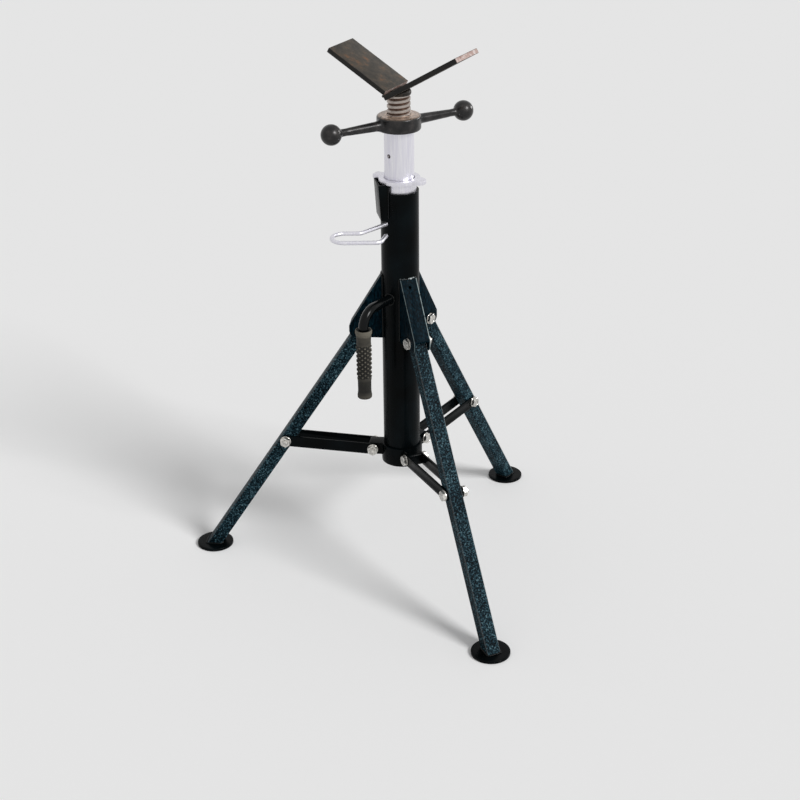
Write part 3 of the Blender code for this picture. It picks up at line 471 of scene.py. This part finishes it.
def makeMillScale(name, direction, edgeways):
    # hot-rolled flat bar: warm grey-brown scale with rust bloom on its broad faces,
    # near-black rolled edges, sawn ends pale and pinkish: bare steel with a painted highlight over it
    material, shader, place = newFinish(name, "#2e2b29", 0.6, 0.1, 0.3)
    broad = addNode(material, "TexNoise", "Fac", {
        "Vector": place, "Scale": 1 / (20 * mm), "Detail": 6, "Roughness": 0.7})
    scale = addNode(material, "ValToRGB", "Color", {"Fac": broad}, [
        (0.3, "#201d19"), (0.46, "#332f29"), (0.57, "#433b32"), (0.66, "#5d4431"), (0.78, "#7d5233")])
    rolled = addNode(material, "ValToRGB", "Color", {"Fac": broad}, [
        (0.35, "#0d0c0b"), (0.6, "#191714"), (0.8, "#33281f")])
    sawn = addNode(material, "TexNoise", "Fac", {"Vector": place, "Scale": 1 / (6 * mm), "Detail": 3})
    # pale sawn ends: bare steel lightened by a painted highlight
    bareEndHighlight = addNode(material, "ValToRGB", "Color", {"Fac": sawn}, [
        (0.3, "#866860"), (0.5, "#a58f87"), (0.68, "#bcb0ac")])
    normal = addNode(material, "TexCoord", "Normal")
    mixed = scale
    for over, axis, low, high in ((rolled, edgeways, 0.55, 0.85), (bareEndHighlight, direction, 0.75, 0.95)):
        along = addNode(material, "VectorMath", "Value", {0: normal, 1: axis}, operation="DOT_PRODUCT")
        along = addNode(material, "Math", "Value", {0: along}, operation="ABSOLUTE")
        share = addNode(material, "MapRange", "Result", {"Value": along, "From Min": low, "From Max": high})
        mixed = addNode(material, "MixRGB", "Color", {"Fac": share, "Color1": mixed, "Color2": over})
    haze = addNode(material, "TexNoise", "Fac", {"Vector": place, "Scale": 1 / (6 * mm), "Detail": 4})
    pits = addNode(material, "TexNoise", "Fac", {"Vector": place, "Scale": 1 / (1.6 * mm), "Detail": 3})
    feed(material, shader, {
        "Base Color": mixed,
        "Roughness": addNode(material, "MapRange", "Result", {"Value": haze, "To Min": 0.45, "To Max": 0.7}),
        "Normal": addNode(material, "Bump", "Normal", {
            "Height": pits, "Distance": 0.1 * mm, "Strength": 0.5})})
    return material


def makeWeldMetal():
    # bare arc weld left to brown: dark, ropy, with a little blue-grey sheen
    material, shader, place = newFinish("brownedWeld", "#26221f", 0.45, 0.5, 0.45)
    burn = addNode(material, "TexNoise", "Fac", {
        "Vector": place, "Scale": 1 / (4 * mm), "Detail": 4, "Roughness": 0.6})
    pits = addNode(material, "TexNoise", "Fac", {"Vector": place, "Scale": 1 / (1.3 * mm), "Detail": 3})
    feed(material, shader, {
        "Base Color": addNode(material, "ValToRGB", "Color", {"Fac": burn}, [
            (0.3, "#141210"), (0.55, "#29241f"), (0.8, "#4b3a2e")]),
        "Roughness": addNode(material, "MapRange", "Result", {"Value": burn, "To Min": 0.35, "To Max": 0.6}),
        "Normal": addNode(material, "Bump", "Normal", {
            "Height": pits, "Distance": 0.15 * mm, "Strength": 0.7})})
    return material


def makeGripRubber(azimuth, reach):
    # moulded rubber grip: warm dark grey, dust over all; the raised diamonds painted paler as a painted
    # highlight and the hollows between them darker as painted shade
    material, shader, place = newFinish("mouldedGripRubber", "#3d3a34", 0.72, 0.0, 0.3)
    turn = math.radians(azimuth)
    middle = (axisX + reach * math.cos(turn), axisY + reach * math.sin(turn), 0)
    # painted highlight on the raised diamonds, painted shade in the hollows between them
    raisedHighlightShare = addNode(material, "MapRange", "Result", {
        "Value": fromUpright(material, place, middle), "From Min": 11.0 * mm, "From Max": 13.2 * mm})
    dust = addNode(material, "TexNoise", "Fac", {
        "Vector": place, "Scale": 1 / (7 * mm), "Detail": 4, "Roughness": 0.6})
    mixed = addNode(material, "Math", "Value", {0: dust, 1: 0.3, 2: raisedHighlightShare}, operation="MULTIPLY_ADD")
    skin = addNode(material, "TexNoise", "Fac", {"Vector": place, "Scale": 1 / (0.9 * mm)})
    feed(material, shader, {
        "Base Color": addNode(material, "ValToRGB", "Color", {"Fac": mixed}, [
            (0.15, "#0f0e0b"), (0.45, "#2c2a25"), (0.75, "#3e3b34"), (1.1, "#615d53")]),
        "Normal": addNode(material, "Bump", "Normal", {
            "Height": skin, "Distance": 0.05 * mm, "Strength": 0.5})})
    return material


blackEnamel = makeBlackEnamel()
hammertone = makeHammertone()
glossBlack = makeGlossBlack()
glintedWeldPaint = makeRubbedWeld()
brightTube = makeBrightTube()
zincHardware = makeZincHardware()
threadSteel = makeThreadSteel()
weldMetal = makeWeldMetal()
vHead = {"azimuth": math.radians(-28.3), "slope": math.radians(30), "low": 0.852}
headCos, headSin = math.cos(vHead["azimuth"]), math.sin(vHead["azimuth"])
slopeCos, slopeSin = math.cos(vHead["slope"]), math.sin(vHead["slope"])
acrossBars = (-headSin, headCos, 0)
upRight = (slopeCos * headCos, slopeCos * headSin, slopeSin)
upLeft = (-slopeCos * headCos, -slopeCos * headSin, slopeSin)
rightScale = makeMillScale("hotRolledBarRight", upRight, acrossBars)
leftScale = makeMillScale("hotRolledBarLeft", upLeft, acrossBars)
print("finishes made")


def dressNode(nodeName, finish):
    piece = bpy.data.objects[nodeName]
    for slot in piece.material_slots:
        slot.material = finish
    if not piece.material_slots:
        piece.data.materials.append(finish)


for nodeName in ("outer_tube", "stop_ring"):
    dressNode(nodeName, blackEnamel)
for nodeName in ("guide_bush", "inner_tube", "thrust_washer"):
    dressNode(nodeName, brightTube)
for side in legAzimuths:
    dressNode("leg_" + side, hammertone)
    dressNode("leg_pin_" + side, zincHardware)
print("frame dressed")


def softenedCopy(nodeName, name, finish, body, width):
    # the CAD solid's own shape, with its sharp edges rounded
    piece = copyOf(bpy.data.objects[nodeName])
    editAll(piece)
    bpy.ops.mesh.remove_doubles(threshold=0.01 * mm)
    bpy.ops.mesh.dissolve_limited(angle_limit=math.radians(1))
    leaveEdit()
    useModifier(piece, "BEVEL", width=width, segments=3, limit_method="ANGLE",
                angle_limit=math.radians(50), harden_normals=False, use_clamp_overlap=True)
    smooth(piece, 30)
    finishPiece(piece, name, finish, body, [nodeName])


edgeRounding = {"hood": 1.1 * mm, "bracket": 0.8 * mm, "brace": 0.7 * mm, "plate": 0.8 * mm,
                "collar": 0.8 * mm, "bar": 0.3 * mm}
for side, azimuth in legAzimuths.items():
    softenedCopy("hood_" + side, "foldedHood_" + side, makeHoodPaint(side, azimuth),
                 "base", edgeRounding["hood"])
    for letter in "ab":
        softenedCopy("brace_" + side + "_" + letter, "braceBar_" + side + "_" + letter,
                     blackEnamel, "brace_" + side + "_body", edgeRounding["brace"])
softenedCopy("lock_bracket", "lockChannel", blackEnamel, "base", edgeRounding["bracket"])
softenedCopy("lock_plate", "lockPlate", brightTube, "tilting_plate", edgeRounding["plate"])
softenedCopy("collar", "slidingCollar", blackEnamel, "collar", edgeRounding["collar"])
softenedCopy("v_bar_right", "vBarRight", rightScale, "screw_head", edgeRounding["bar"])
softenedCopy("v_bar_left", "vBarLeft", leftScale, "screw_head", edgeRounding["bar"])
print("edges rounded")


footDisc = {"radius": 32.5 * mm, "thickness": 5 * mm, "edge": 1.4 * mm, "land": 6 * mm, "reach": 0.346492,
            "sides": 96}


def makeFootDisc():
    r, t, e = footDisc["radius"], footDisc["thickness"], footDisc["edge"]
    rings = [(r - e * 0.5, 0), (r, e * 0.4)]
    for step in range(7):
        angle = math.pi / 2 * step / 6
        rings.append((r - e + e * math.cos(angle), t - e + e * math.sin(angle)))
    rings.append((r - footDisc["land"], t))
    return turnPiece(rings, footDisc["sides"])


for side, azimuth in legAzimuths.items():
    disc = makeFootDisc()
    put(disc, turn=station(azimuth) @ Matrix.Translation((footDisc["reach"], 0, 0)))
    smooth(disc, 40)
    finishPiece(disc, "footDisc_" + side, blackEnamel,
                "leg_" + side + "_body", ["foot_" + side])
print("feet made")


def threadedRod(coreRadius, majorRadius, pitch, low, high, sides):
    # one turn's profile is spun up the rod, then both ends are cut square and filled
    turns = int(math.ceil((high - low) / pitch)) + 3
    clearSelection()
    bpy.ops.mesh.primitive_plane_add(size=1 * mm)
    piece = bpy.context.active_object
    editAll(piece)
    bpy.ops.mesh.merge(type="CENTER")
    bpy.ops.transform.translate(value=(coreRadius, 0, low - 1.5 * pitch))
    steps = [(majorRadius - coreRadius, 0.20 * pitch), (0, 0.44 * pitch),
             (coreRadius - majorRadius, 0.20 * pitch), (0, 0.16 * pitch)]
    for outwards, upwards in steps:
        bpy.ops.mesh.extrude_region_move(TRANSFORM_OT_translate={"value": (outwards, 0, upwards)})
    leaveEdit()
    useModifier(piece, "SCREW", angle=2 * math.pi, screw_offset=pitch, iterations=turns,
                steps=sides, render_steps=sides, use_merge_vertices=True, merge_threshold=0.01 * mm)
    for height, outer in ((high, True), (low, False)):
        editAll(piece)
        bpy.ops.mesh.remove_doubles(threshold=0.01 * mm)
        bpy.ops.mesh.bisect(plane_co=(0, 0, height), plane_no=(0, 0, 1), use_fill=True,
                            clear_outer=outer, clear_inner=not outer, threshold=0.001 * mm)
        leaveEdit()
    return tidyShell(piece, 0.01 * mm)


bolt = {"radius": 5 * mm, "across": 15.8 * mm, "head": 6.5 * mm, "nut": 8 * mm, "out": 2.5 * mm,
        "pitch": 1.5 * mm, "threadCore": 4.35 * mm, "threadMajor": 4.95 * mm, "threadSides": 20,
        "play": 0.2 * mm, "sides": 48, "boreSides": 32, "turned": 17, "turnStep": 23}
turning = {"wide": 1.25, "crown": 0.95, "slope": math.radians(30), "foot": 0.7 * mm, "over": 4 * mm,
           "offCorner": math.radians(2)}
washer = {"radius": 9.5 * mm, "thick": 1.4 * mm, "edge": 0.25 * mm}
recess = {"rim": 1.3 * mm, "wall": 1.6 * mm, "deep": 0.3 * mm}


def hexBlank(height, recessed):
    # a hexagon turned down at its corners, as a bolt head is; its foot ends inside the washer
    flat = bolt["across"] / 2
    head = roundRod(flat / math.cos(math.pi / 6), height + turning["over"], 6, height / 2)
    bpy.ops.object.transform_apply(location=True, rotation=True, scale=True)
    wide, narrow = flat * turning["wide"], flat * turning["crown"]
    drop = (wide - narrow) * math.tan(turning["slope"])
    rings = [(wide, turning["foot"]), (wide, height - drop), (narrow, height)]
    if recessed:
        rings += [(narrow - recess["rim"], height), (narrow - recess["wall"], height - recess["deep"])]
    offCorner = Matrix.Rotation(turning["offCorner"], 4, "Z")
    return cutWith(head, put(turnPiece(rings, bolt["sides"]), turn=offCorner), "INTERSECT")


def withWasher(piece):
    # the plain washer is shown as part of the head or nut that clamps it
    outer, thick, edge = washer["radius"], washer["thick"], washer["edge"]
    disc = turnPiece([(outer - edge, 0), (outer, edge), (outer, thick - edge), (outer - edge, thick)],
                     bolt["sides"])
    return cutWith(piece, disc, "UNION")


def makeHexNut():
    body = withWasher(hexBlank(bolt["nut"], False))
    return cutWith(body, roundRod(bolt["radius"] + bolt["play"], 50 * mm, bolt["boreSides"]))


boltHead = smooth(tidyShell(withWasher(hexBlank(bolt["head"], True)), 0.005 * mm), 25)
hexNut = smooth(tidyShell(makeHexNut(), 0.005 * mm), 25)
threadEnd = smooth(threadedRod(bolt["threadCore"], bolt["threadMajor"], bolt["pitch"], 0,
                               bolt["nut"] + bolt["out"], bolt["threadSides"]), 50)
# inner is where the leg's own pin takes over from the shank
pivotBolts = {
    "hood": {"reach": 0.064, "height": 0.440, "face": 14.9 * mm, "body": "base", "inner": None},
    "lug": {"reach": 0.050, "height": 0.2152, "face": 15.6 * mm, "body": "collar", "inner": None},
    "brace": {"reach": 0.203972, "height": 0.224462, "face": 15.6 * mm, "body": "brace", "inner": 12.3 * mm},
}
towardsMinusY = Matrix.Rotation(math.pi / 2, 4, "X")
towardsPlusY = Matrix.Rotation(-math.pi / 2, 4, "X")
for kind, spot in pivotBolts.items():
    face, inner = spot["face"], spot["inner"]
    for index, (side, azimuth) in enumerate(legAzimuths.items()):
        body = spot["body"] if spot["body"] != "brace" else "brace_" + side + "_body"
        base = station(azimuth) @ Matrix.Translation((spot["reach"], 0, spot["height"]))
        spin = Matrix.Rotation(math.radians(bolt["turned"] + bolt["turnStep"] * index), 4, "Z")
        head = put(copyOf(boltHead), turn=base @ Matrix.Translation((0, -face, 0)) @ towardsMinusY @ spin)
        nut = put(copyOf(hexNut), turn=base @ Matrix.Translation((0, face, 0)) @ towardsPlusY @ spin)
        tail = put(copyOf(threadEnd), turn=base @ Matrix.Translation((0, face, 0)) @ towardsPlusY)
        finishPiece(head, kind + "BoltHead_" + side, zincHardware, body, [kind + "_bolt_" + side])
        finishPiece(nut, kind + "HexNut_" + side, zincHardware, body, [kind + "_nut_" + side])
        finishPiece(tail, kind + "BoltEnd_" + side, zincHardware, body)
        spans = [(-face, -inner), (inner, face)] if inner else [(-face, face)]
        for number, (start, stop) in enumerate(spans):
            shank = turnPiece([(bolt["radius"], start), (bolt["radius"], stop)], bolt["boreSides"])
            put(shank, turn=base @ towardsPlusY)
            smooth(shank, 40)
            finishPiece(shank, kind + "Shank" + str(number) + "_" + side, zincHardware, body)
for piece in (boltHead, hexNut, threadEnd):
    bpy.data.objects.remove(piece, do_unlink=True)
print("bolts made")


def clearOfBars(piece):
    for barName in ("vBarRight", "vBarLeft"):
        cutWith(piece, copyOf(bpy.data.objects[barName]))


liftScrew = {"core": 16.7 * mm, "major": 18.9 * mm, "pitch": 8 * mm, "low": 0.668, "high": 0.8465,
             "crest": 0.35 * mm, "sides": 64}
screwPiece = threadedRod(liftScrew["core"], liftScrew["major"], liftScrew["pitch"],
                         liftScrew["low"], liftScrew["high"], liftScrew["sides"])
put(screwPiece, standAxis)
clearOfBars(screwPiece)
useModifier(screwPiece, "BEVEL", width=liftScrew["crest"], segments=2, limit_method="ANGLE",
            angle_limit=math.radians(35))
smooth(screwPiece, 45)
finishPiece(screwPiece, "threadedScrew", threadSteel, "screw_head", ["lift_screw"])

headWeld = {"rings": [(15, 841.2), (18.6, 841.5), (20.0, 843.2), (20.4, 845.6), (19.8, 848.4),
                      (17.5, 850.6), (14, 851.2)], "sides": 72, "cell": 0.8 * mm}
weldPlug = turnPiece([(radius * mm, height * mm) for radius, height in headWeld["rings"]], headWeld["sides"])
put(weldPlug, standAxis)
clearOfBars(weldPlug)
useModifier(weldPlug, "REMESH", mode="VOXEL", voxel_size=headWeld["cell"], adaptivity=0.0)
useModifier(weldPlug, "SMOOTH", factor=0.5, iterations=5)
smooth(weldPlug, 60)
finishPiece(weldPlug, "headWeld", weldMetal, "screw_head")
print("lift screw made")


handNut = {"hubRadius": 35.75 * mm, "hubHeight": 25.5 * mm, "low": 0.785, "azimuth": 32.6,
           "armHeight": 11.25 * mm, "ballReach": 124.7 * mm, "ballRadius": 16.7 * mm, "neck": 5.9 * mm,
           "root": 7.8 * mm, "bore": 19.4 * mm, "cell": 1.0 * mm, "hubSides": 96, "armSides": 48}


def makeHub():
    r, h = handNut["hubRadius"], handNut["hubHeight"]
    rings = [(22 * mm, 0), (r - 4 * mm, 0), (r - 1.2 * mm, 1.0 * mm), (r, 3.4 * mm), (r, h - 4.5 * mm),
             (r - 0.8 * mm, h - 2.4 * mm), (r - 3.2 * mm, h - 0.9 * mm), (r - 6 * mm, h - 0.6 * mm),
             (24.5 * mm, h - 0.7 * mm), (23 * mm, h), (20.8 * mm, h)]
    return turnPiece(rings, handNut["hubSides"])


def makeArms():
    # both arms and both balls in one turned piece: half of it, then its mirror image
    ball, reach, neck, root = (handNut[key] for key in ("ballRadius", "ballReach", "neck", "root"))
    neckStart = reach - math.sqrt(ball ** 2 - (neck * 1.5) ** 2)
    half = [(11.5 * mm, 26 * mm), (10.6 * mm, 34 * mm), (9.0 * mm, 38 * mm), (7.9 * mm, 43 * mm),
            (root, 50 * mm), (root * 0.93, 66 * mm), (root * 0.86, 80 * mm), (neck * 1.08, 92 * mm),
            (neck, 98 * mm), (neck * 1.06, neckStart - 4 * mm), (neck * 1.22, neckStart - 1.6 * mm),
            (neck * 1.5, neckStart)]
    turnFrom = math.pi - math.asin(neck * 1.5 / ball)
    for step in range(1, 22):
        angle = turnFrom * (1 - step / 22)
        half.append((ball * math.sin(angle), reach + ball * math.cos(angle)))
    half.append((0.4 * mm, reach + ball))
    rings = [(radius, -height) for radius, height in reversed(half)] + half
    return turnPiece(rings, handNut["armSides"])


nutPiece = makeHub()
arms = put(makeArms(), (0, 0, handNut["armHeight"]), Matrix.Rotation(math.pi / 2, 4, "Y"))
cutWith(nutPiece, arms, "UNION")
useModifier(nutPiece, "REMESH", mode="VOXEL", voxel_size=handNut["cell"], adaptivity=0.0)
useModifier(nutPiece, "SMOOTH", factor=0.5, iterations=6)
cutWith(nutPiece, roundRod(handNut["bore"], 100 * mm, handNut["hubSides"]))
put(nutPiece, standAxis + Vector((0, 0, handNut["low"])),
    Matrix.Rotation(math.radians(handNut["azimuth"]), 4, "Z"))
smooth(nutPiece, 50)
castIron = makeCastIron(handNut["low"])
finishPiece(nutPiece, "castHandNut", castIron, "hand_nut", ["handle_nut"])
print("hand nut made")


lockPin = {"radius": 3.4 * mm, "height": 0.634, "azimuth": -134.0, "tip": 24.45 * mm, "farRow": -65 * mm,
           "nearRow": -109 * mm, "end": -108 * mm, "elbowBend": 8 * mm, "loopBend": 20.5 * mm,
           "hook": -31 * mm, "hookBend": 10 * mm, "hookTip": (-22 * mm, -77 * mm, 0), "tipRound": 0.8 * mm,
           "bendSteps": 14, "sides": 20}
pinTurn = math.radians(lockPin["azimuth"])
elbow = lockPin["farRow"] / math.sin(pinTurn)
corners = [
    ((lockPin["tip"] * math.cos(pinTurn), lockPin["tip"] * math.sin(pinTurn), 0), 0),
    ((elbow * math.cos(pinTurn), lockPin["farRow"], 0), lockPin["elbowBend"]),
    ((lockPin["end"], lockPin["farRow"], 0), lockPin["loopBend"]),
    ((lockPin["end"], lockPin["nearRow"], 0), lockPin["loopBend"]),
    ((lockPin["hook"], lockPin["nearRow"], 0), lockPin["hookBend"]),
    (lockPin["hookTip"], 0),
]
pinPiece = bentRod(roundedPath(corners, lockPin["bendSteps"]), lockPin["radius"], lockPin["sides"])
useModifier(pinPiece, "BEVEL", width=lockPin["tipRound"], segments=3, limit_method="ANGLE",
            angle_limit=math.radians(60))
put(pinPiece, standAxis + Vector((0, 0, lockPin["height"])))
smooth(pinPiece, 45)
finishPiece(pinPiece, "bentLockingPin", brightTube, "pull_pin", ["locking_pin"])
print("locking pin made")


carry = {"azimuth": -126.0, "radius": 8.2 * mm, "inside": 27.5 * mm, "root": 0.504, "reach": 104 * mm,
         "bend": 28.5 * mm, "end": 0.358, "bendSteps": 24, "sides": 28, "saddleSides": 96}
carryPath = roundedPath([
    ((carry["inside"], 0, carry["root"]), 0),
    ((carry["reach"], 0, carry["root"]), carry["bend"]),
    ((carry["reach"], 0, carry["end"]), 0)], carry["bendSteps"])
carryTube = bentRod(carryPath, carry["radius"], carry["sides"])
cutWith(carryTube, roundRod(columnRadius, 100 * mm, carry["saddleSides"], carry["root"]))
put(carryTube, turn=station(carry["azimuth"]))
smooth(carryTube, 45)
finishPiece(carryTube, "bentCarryTube", glossBlack, "base", ["carry_handle"])

grip = {"length": 121.8 * mm, "low": 0.3532, "sides": 144, "rings": 150, "skin": 10.5 * mm,
        "knurlLow": 36 * mm, "knurlHigh": 96 * mm, "knurlFade": 2 * mm, "starts": 8, "twist": 0.25,
        "depth": 1.9 * mm}


def gripRadius(height):
    # moulded taper: flared foot, waist, swell under the hand and a rolled top flange
    spots = [(0, 11.2), (1.0, 12.0), (5, 12.2), (8, 11.6), (13, 11.1), (30, 11.2), (34, 11.8), (96, 12.2),
             (100, 11.9), (109, 12.2), (114, 12.8), (116, 13.9), (120.4, 14.0), (121.8, 13.3)]
    h = height / mm
    for (h0, r0), (h1, r1) in zip(spots, spots[1:]):
        if h <= h1:
            part = (h - h0) / (h1 - h0)
            part = part * part * (3 - 2 * part)
            return (r0 + (r1 - r0) * part) * mm
    return spots[-1][1] * mm


heights = [grip["length"] * step / grip["rings"] for step in range(grip["rings"] + 1)]
gripRings = [(gripRadius(height), height) for height in heights]
gripRings += [(11.6 * mm, grip["length"] - 0.2 * mm), (8.6 * mm, grip["length"] - 1.6 * mm),
              (8.5 * mm, 5 * mm)]
gripPiece = turnPiece(gripRings, grip["sides"])
for vertex in gripPiece.data.vertices:               # the diamonds of the moulded pattern
    x, y, z = vertex.co
    reach = math.hypot(x, y)
    if reach < grip["skin"] or not grip["knurlLow"] < z < grip["knurlHigh"]:
        continue
    angle = math.atan2(y, x) * grip["starts"]
    climb = (z - grip["knurlLow"]) / mm * grip["twist"] * math.pi
    rise = max(0.0, math.cos(angle + climb)) * max(0.0, math.cos(angle - climb))
    fade = min(1, (z - grip["knurlLow"]) / grip["knurlFade"], (grip["knurlHigh"] - z) / grip["knurlFade"])
    depth = grip["depth"] * fade * (min(1.0, 1.9 * rise ** 0.6) - 0.5)
    vertex.co.x += x / reach * depth
    vertex.co.y += y / reach * depth
put(gripPiece, turn=station(carry["azimuth"]) @ Matrix.Translation((carry["reach"], 0, grip["low"])))
smooth(gripPiece, 50)
gripRubber = makeGripRubber(carry["azimuth"], carry["reach"])
finishPiece(gripPiece, "knurledGrip", gripRubber, "base", ["handle_grip"])
print("carry handle made")


bead = {"radius": 1.7 * mm, "ripple": 2.2 * mm, "steps": 3, "swell": 0.16, "sides": 10}


def weldBead(points, name, finish, body, radius):
    # a run of overlapping puddles
    path = [Vector(point) for point in points]
    fine = []
    for start, stop in zip(path, path[1:]):
        count = max(2, int((stop - start).length / (bead["ripple"] / bead["steps"])))
        fine += [start.lerp(stop, i / count) for i in range(count)]
    fine.append(path[-1])
    swell = bead["swell"]
    piece = bentRod(fine, radius, bead["sides"],
                    lambda i: 1 - swell + swell * math.cos(i * 2 * math.pi / bead["steps"]))
    smooth(piece, 60)
    finishPiece(piece, name, finish, body)


hoodBead = {"half": 14.9 * mm, "aside": 15.1 * mm, "proud": 0.9 * mm, "low": 0.431, "top": 0.5405,
            "topProud": 0.6 * mm, "topSpan": 26, "topStep": 4}
for side, azimuth in legAzimuths.items():
    there = station(azimuth)
    edgeX = math.sqrt(columnRadius ** 2 - hoodBead["half"] ** 2) + hoodBead["proud"]
    for sign, letter in ((-1, "A"), (1, "B")):
        ends = [there @ Vector((edgeX, sign * hoodBead["aside"], height))
                for height in (hoodBead["low"], hoodBead["top"])]
        weldBead(ends, "hoodWeld_" + side + letter, glossBlack, "base", bead["radius"])
    arcRadius = columnRadius + hoodBead["topProud"]
    arc = []
    for degrees in range(-hoodBead["topSpan"], hoodBead["topSpan"] + 1, hoodBead["topStep"]):
        turn = math.radians(degrees)
        arc.append(there @ Vector((arcRadius * math.cos(turn), arcRadius * math.sin(turn),
                                   hoodBead["top"] + hoodBead["topProud"])))
    # the top bead carries painted glints
    weldBead(arc, "hoodTopWeld_" + side, glintedWeldPaint, "base", bead["radius"])

handleBead = {"round": carry["radius"] + 1.0 * mm, "proud": 0.8 * mm, "steps": 32, "radius": 2.0 * mm}
root = station(carry["azimuth"])
ring = []
for step in range(handleBead["steps"] + 1):
    turn = 2 * math.pi * step / handleBead["steps"]
    across = handleBead["round"] * math.cos(turn)
    ring.append(root @ Vector((math.sqrt(columnRadius ** 2 - across ** 2) + handleBead["proud"], across,
                               carry["root"] + handleBead["round"] * math.sin(turn))))
weldBead(ring, "handleWeld", glossBlack, "base", handleBead["radius"])

bracketBead = {"azimuth": -170.0, "out": 22.6 * mm, "aside": 23.2 * mm, "low": 0.645, "high": 0.697,
               "radius": 1.5 * mm}
there = station(bracketBead["azimuth"])
for sign, letter in ((-1, "A"), (1, "B")):
    ends = [there @ Vector((bracketBead["out"], sign * bracketBead["aside"], height))
            for height in (bracketBead["low"], bracketBead["high"])]
    weldBead(ends, "bracketWeld" + letter, glossBlack, "base", bracketBead["radius"])

legFoot = {"halfDeep": 14.6 * mm, "halfWide": 12.3 * mm, "height": 5.6 * mm, "corner": 3 * mm,
           "radius": 1.6 * mm}
deep, wide, height, corner = (legFoot[key] for key in ("halfDeep", "halfWide", "height", "corner"))
outline = roundedPath([
    ((0, wide, height), 0), ((deep, wide, height), corner), ((deep, -wide, height), corner),
    ((-deep, -wide, height), corner), ((-deep, wide, height), corner), ((0, wide, height), 0)], 4)
for side, azimuth in legAzimuths.items():
    there = station(azimuth) @ Matrix.Translation((footDisc["reach"], 0, 0))
    weldBead([there @ point for point in outline], "footWeld_" + side, glossBlack,
             "leg_" + side + "_body", legFoot["radius"])

barBead = {"shift": 1.8 * mm, "back": -10.2 * mm, "half": 36 * mm, "drop": -6.3 * mm, "radius": 2.1 * mm}
seamPlace = Vector((barBead["shift"] * headCos, barBead["shift"] * headSin, vHead["low"]))
seam = Matrix.Translation(standAxis + seamPlace) @ Matrix.Rotation(vHead["azimuth"], 4, "Z")
ends = [seam @ Vector((barBead["back"], across, barBead["drop"]))
        for across in (-barBead["half"], barBead["half"])]
weldBead(ends, "barWeld", weldMetal, "screw_head", barBead["radius"])
print("welds made")


studio = {"floorSize": 24, "floorDrop": 0.4 * mm, "floorColour": "#f9f9f9", "soft": 0.36, "white": 0.86,
          "aimHeight": 0.45}
floorPaint = bpy.data.materials.new("paleFloor")         # matt near-white, so that it only takes the shadow
floorPaint.use_nodes = True
floorShader = floorPaint.node_tree.nodes["Principled BSDF"]
floorShader.inputs["Base Color"].default_value = linear(studio["floorColour"])
floorShader.inputs["Roughness"].default_value = 0.9
floorShader.inputs["Specular IOR Level"].default_value = 0.0
clearSelection()
bpy.ops.mesh.primitive_plane_add(size=studio["floorSize"], location=(0, 0, -studio["floorDrop"]))
floor = bpy.context.active_object
floor.name = "studioFloor"
floor.data.materials.append(floorPaint)

world = bpy.context.scene.world or bpy.data.worlds.new("studio")
bpy.context.scene.world = world
world.use_nodes = True
world.node_tree.nodes.clear()
# the object is lit softly, while the camera, reflections and see-through parts meet the whiter backdrop
seen = addNode(world, "LightPath", "Is Camera Ray")
for rayKind in ("Is Transmission Ray", "Is Glossy Ray"):
    both = {0: seen, 1: addNode(world, "LightPath", rayKind)}
    seen = addNode(world, "Math", "Value", both, operation="MAXIMUM")
soft, white = (addNode(world, "Background", "Background", {"Color": (1, 1, 1, 1), "Strength": studio[key]})
               for key in ("soft", "white"))
mix = addNode(world, "MixShader", "Shader", {"Fac": seen, 1: soft, 2: white})
addNode(world, "OutputWorld", None, {"Surface": mix})

lamps = {
    "keyLight": {"place": (1.99, -1.56, 2.27), "spread": 20, "power": 2.2},
    "rimLight": {"place": (2.4, 1.38, 1.09), "spread": 14, "power": 0.8},
}
for name, lamp in lamps.items():
    clearSelection()
    bpy.ops.object.light_add(type="SUN", location=Vector(lamp["place"]) + standAxis)
    light = bpy.context.active_object
    light.name = name
    light.data.energy = lamp["power"]
    light.data.angle = math.radians(lamp["spread"])
    light.data.use_shadow = name == "keyLight"       # the low rim light only draws edges
    aim = standAxis + Vector((0, 0, studio["aimHeight"])) - light.location
    light.rotation_euler = aim.to_track_quat("-Z", "Y").to_euler()
bpy.context.scene.view_settings.view_transform = "Standard"
print("studio lit")
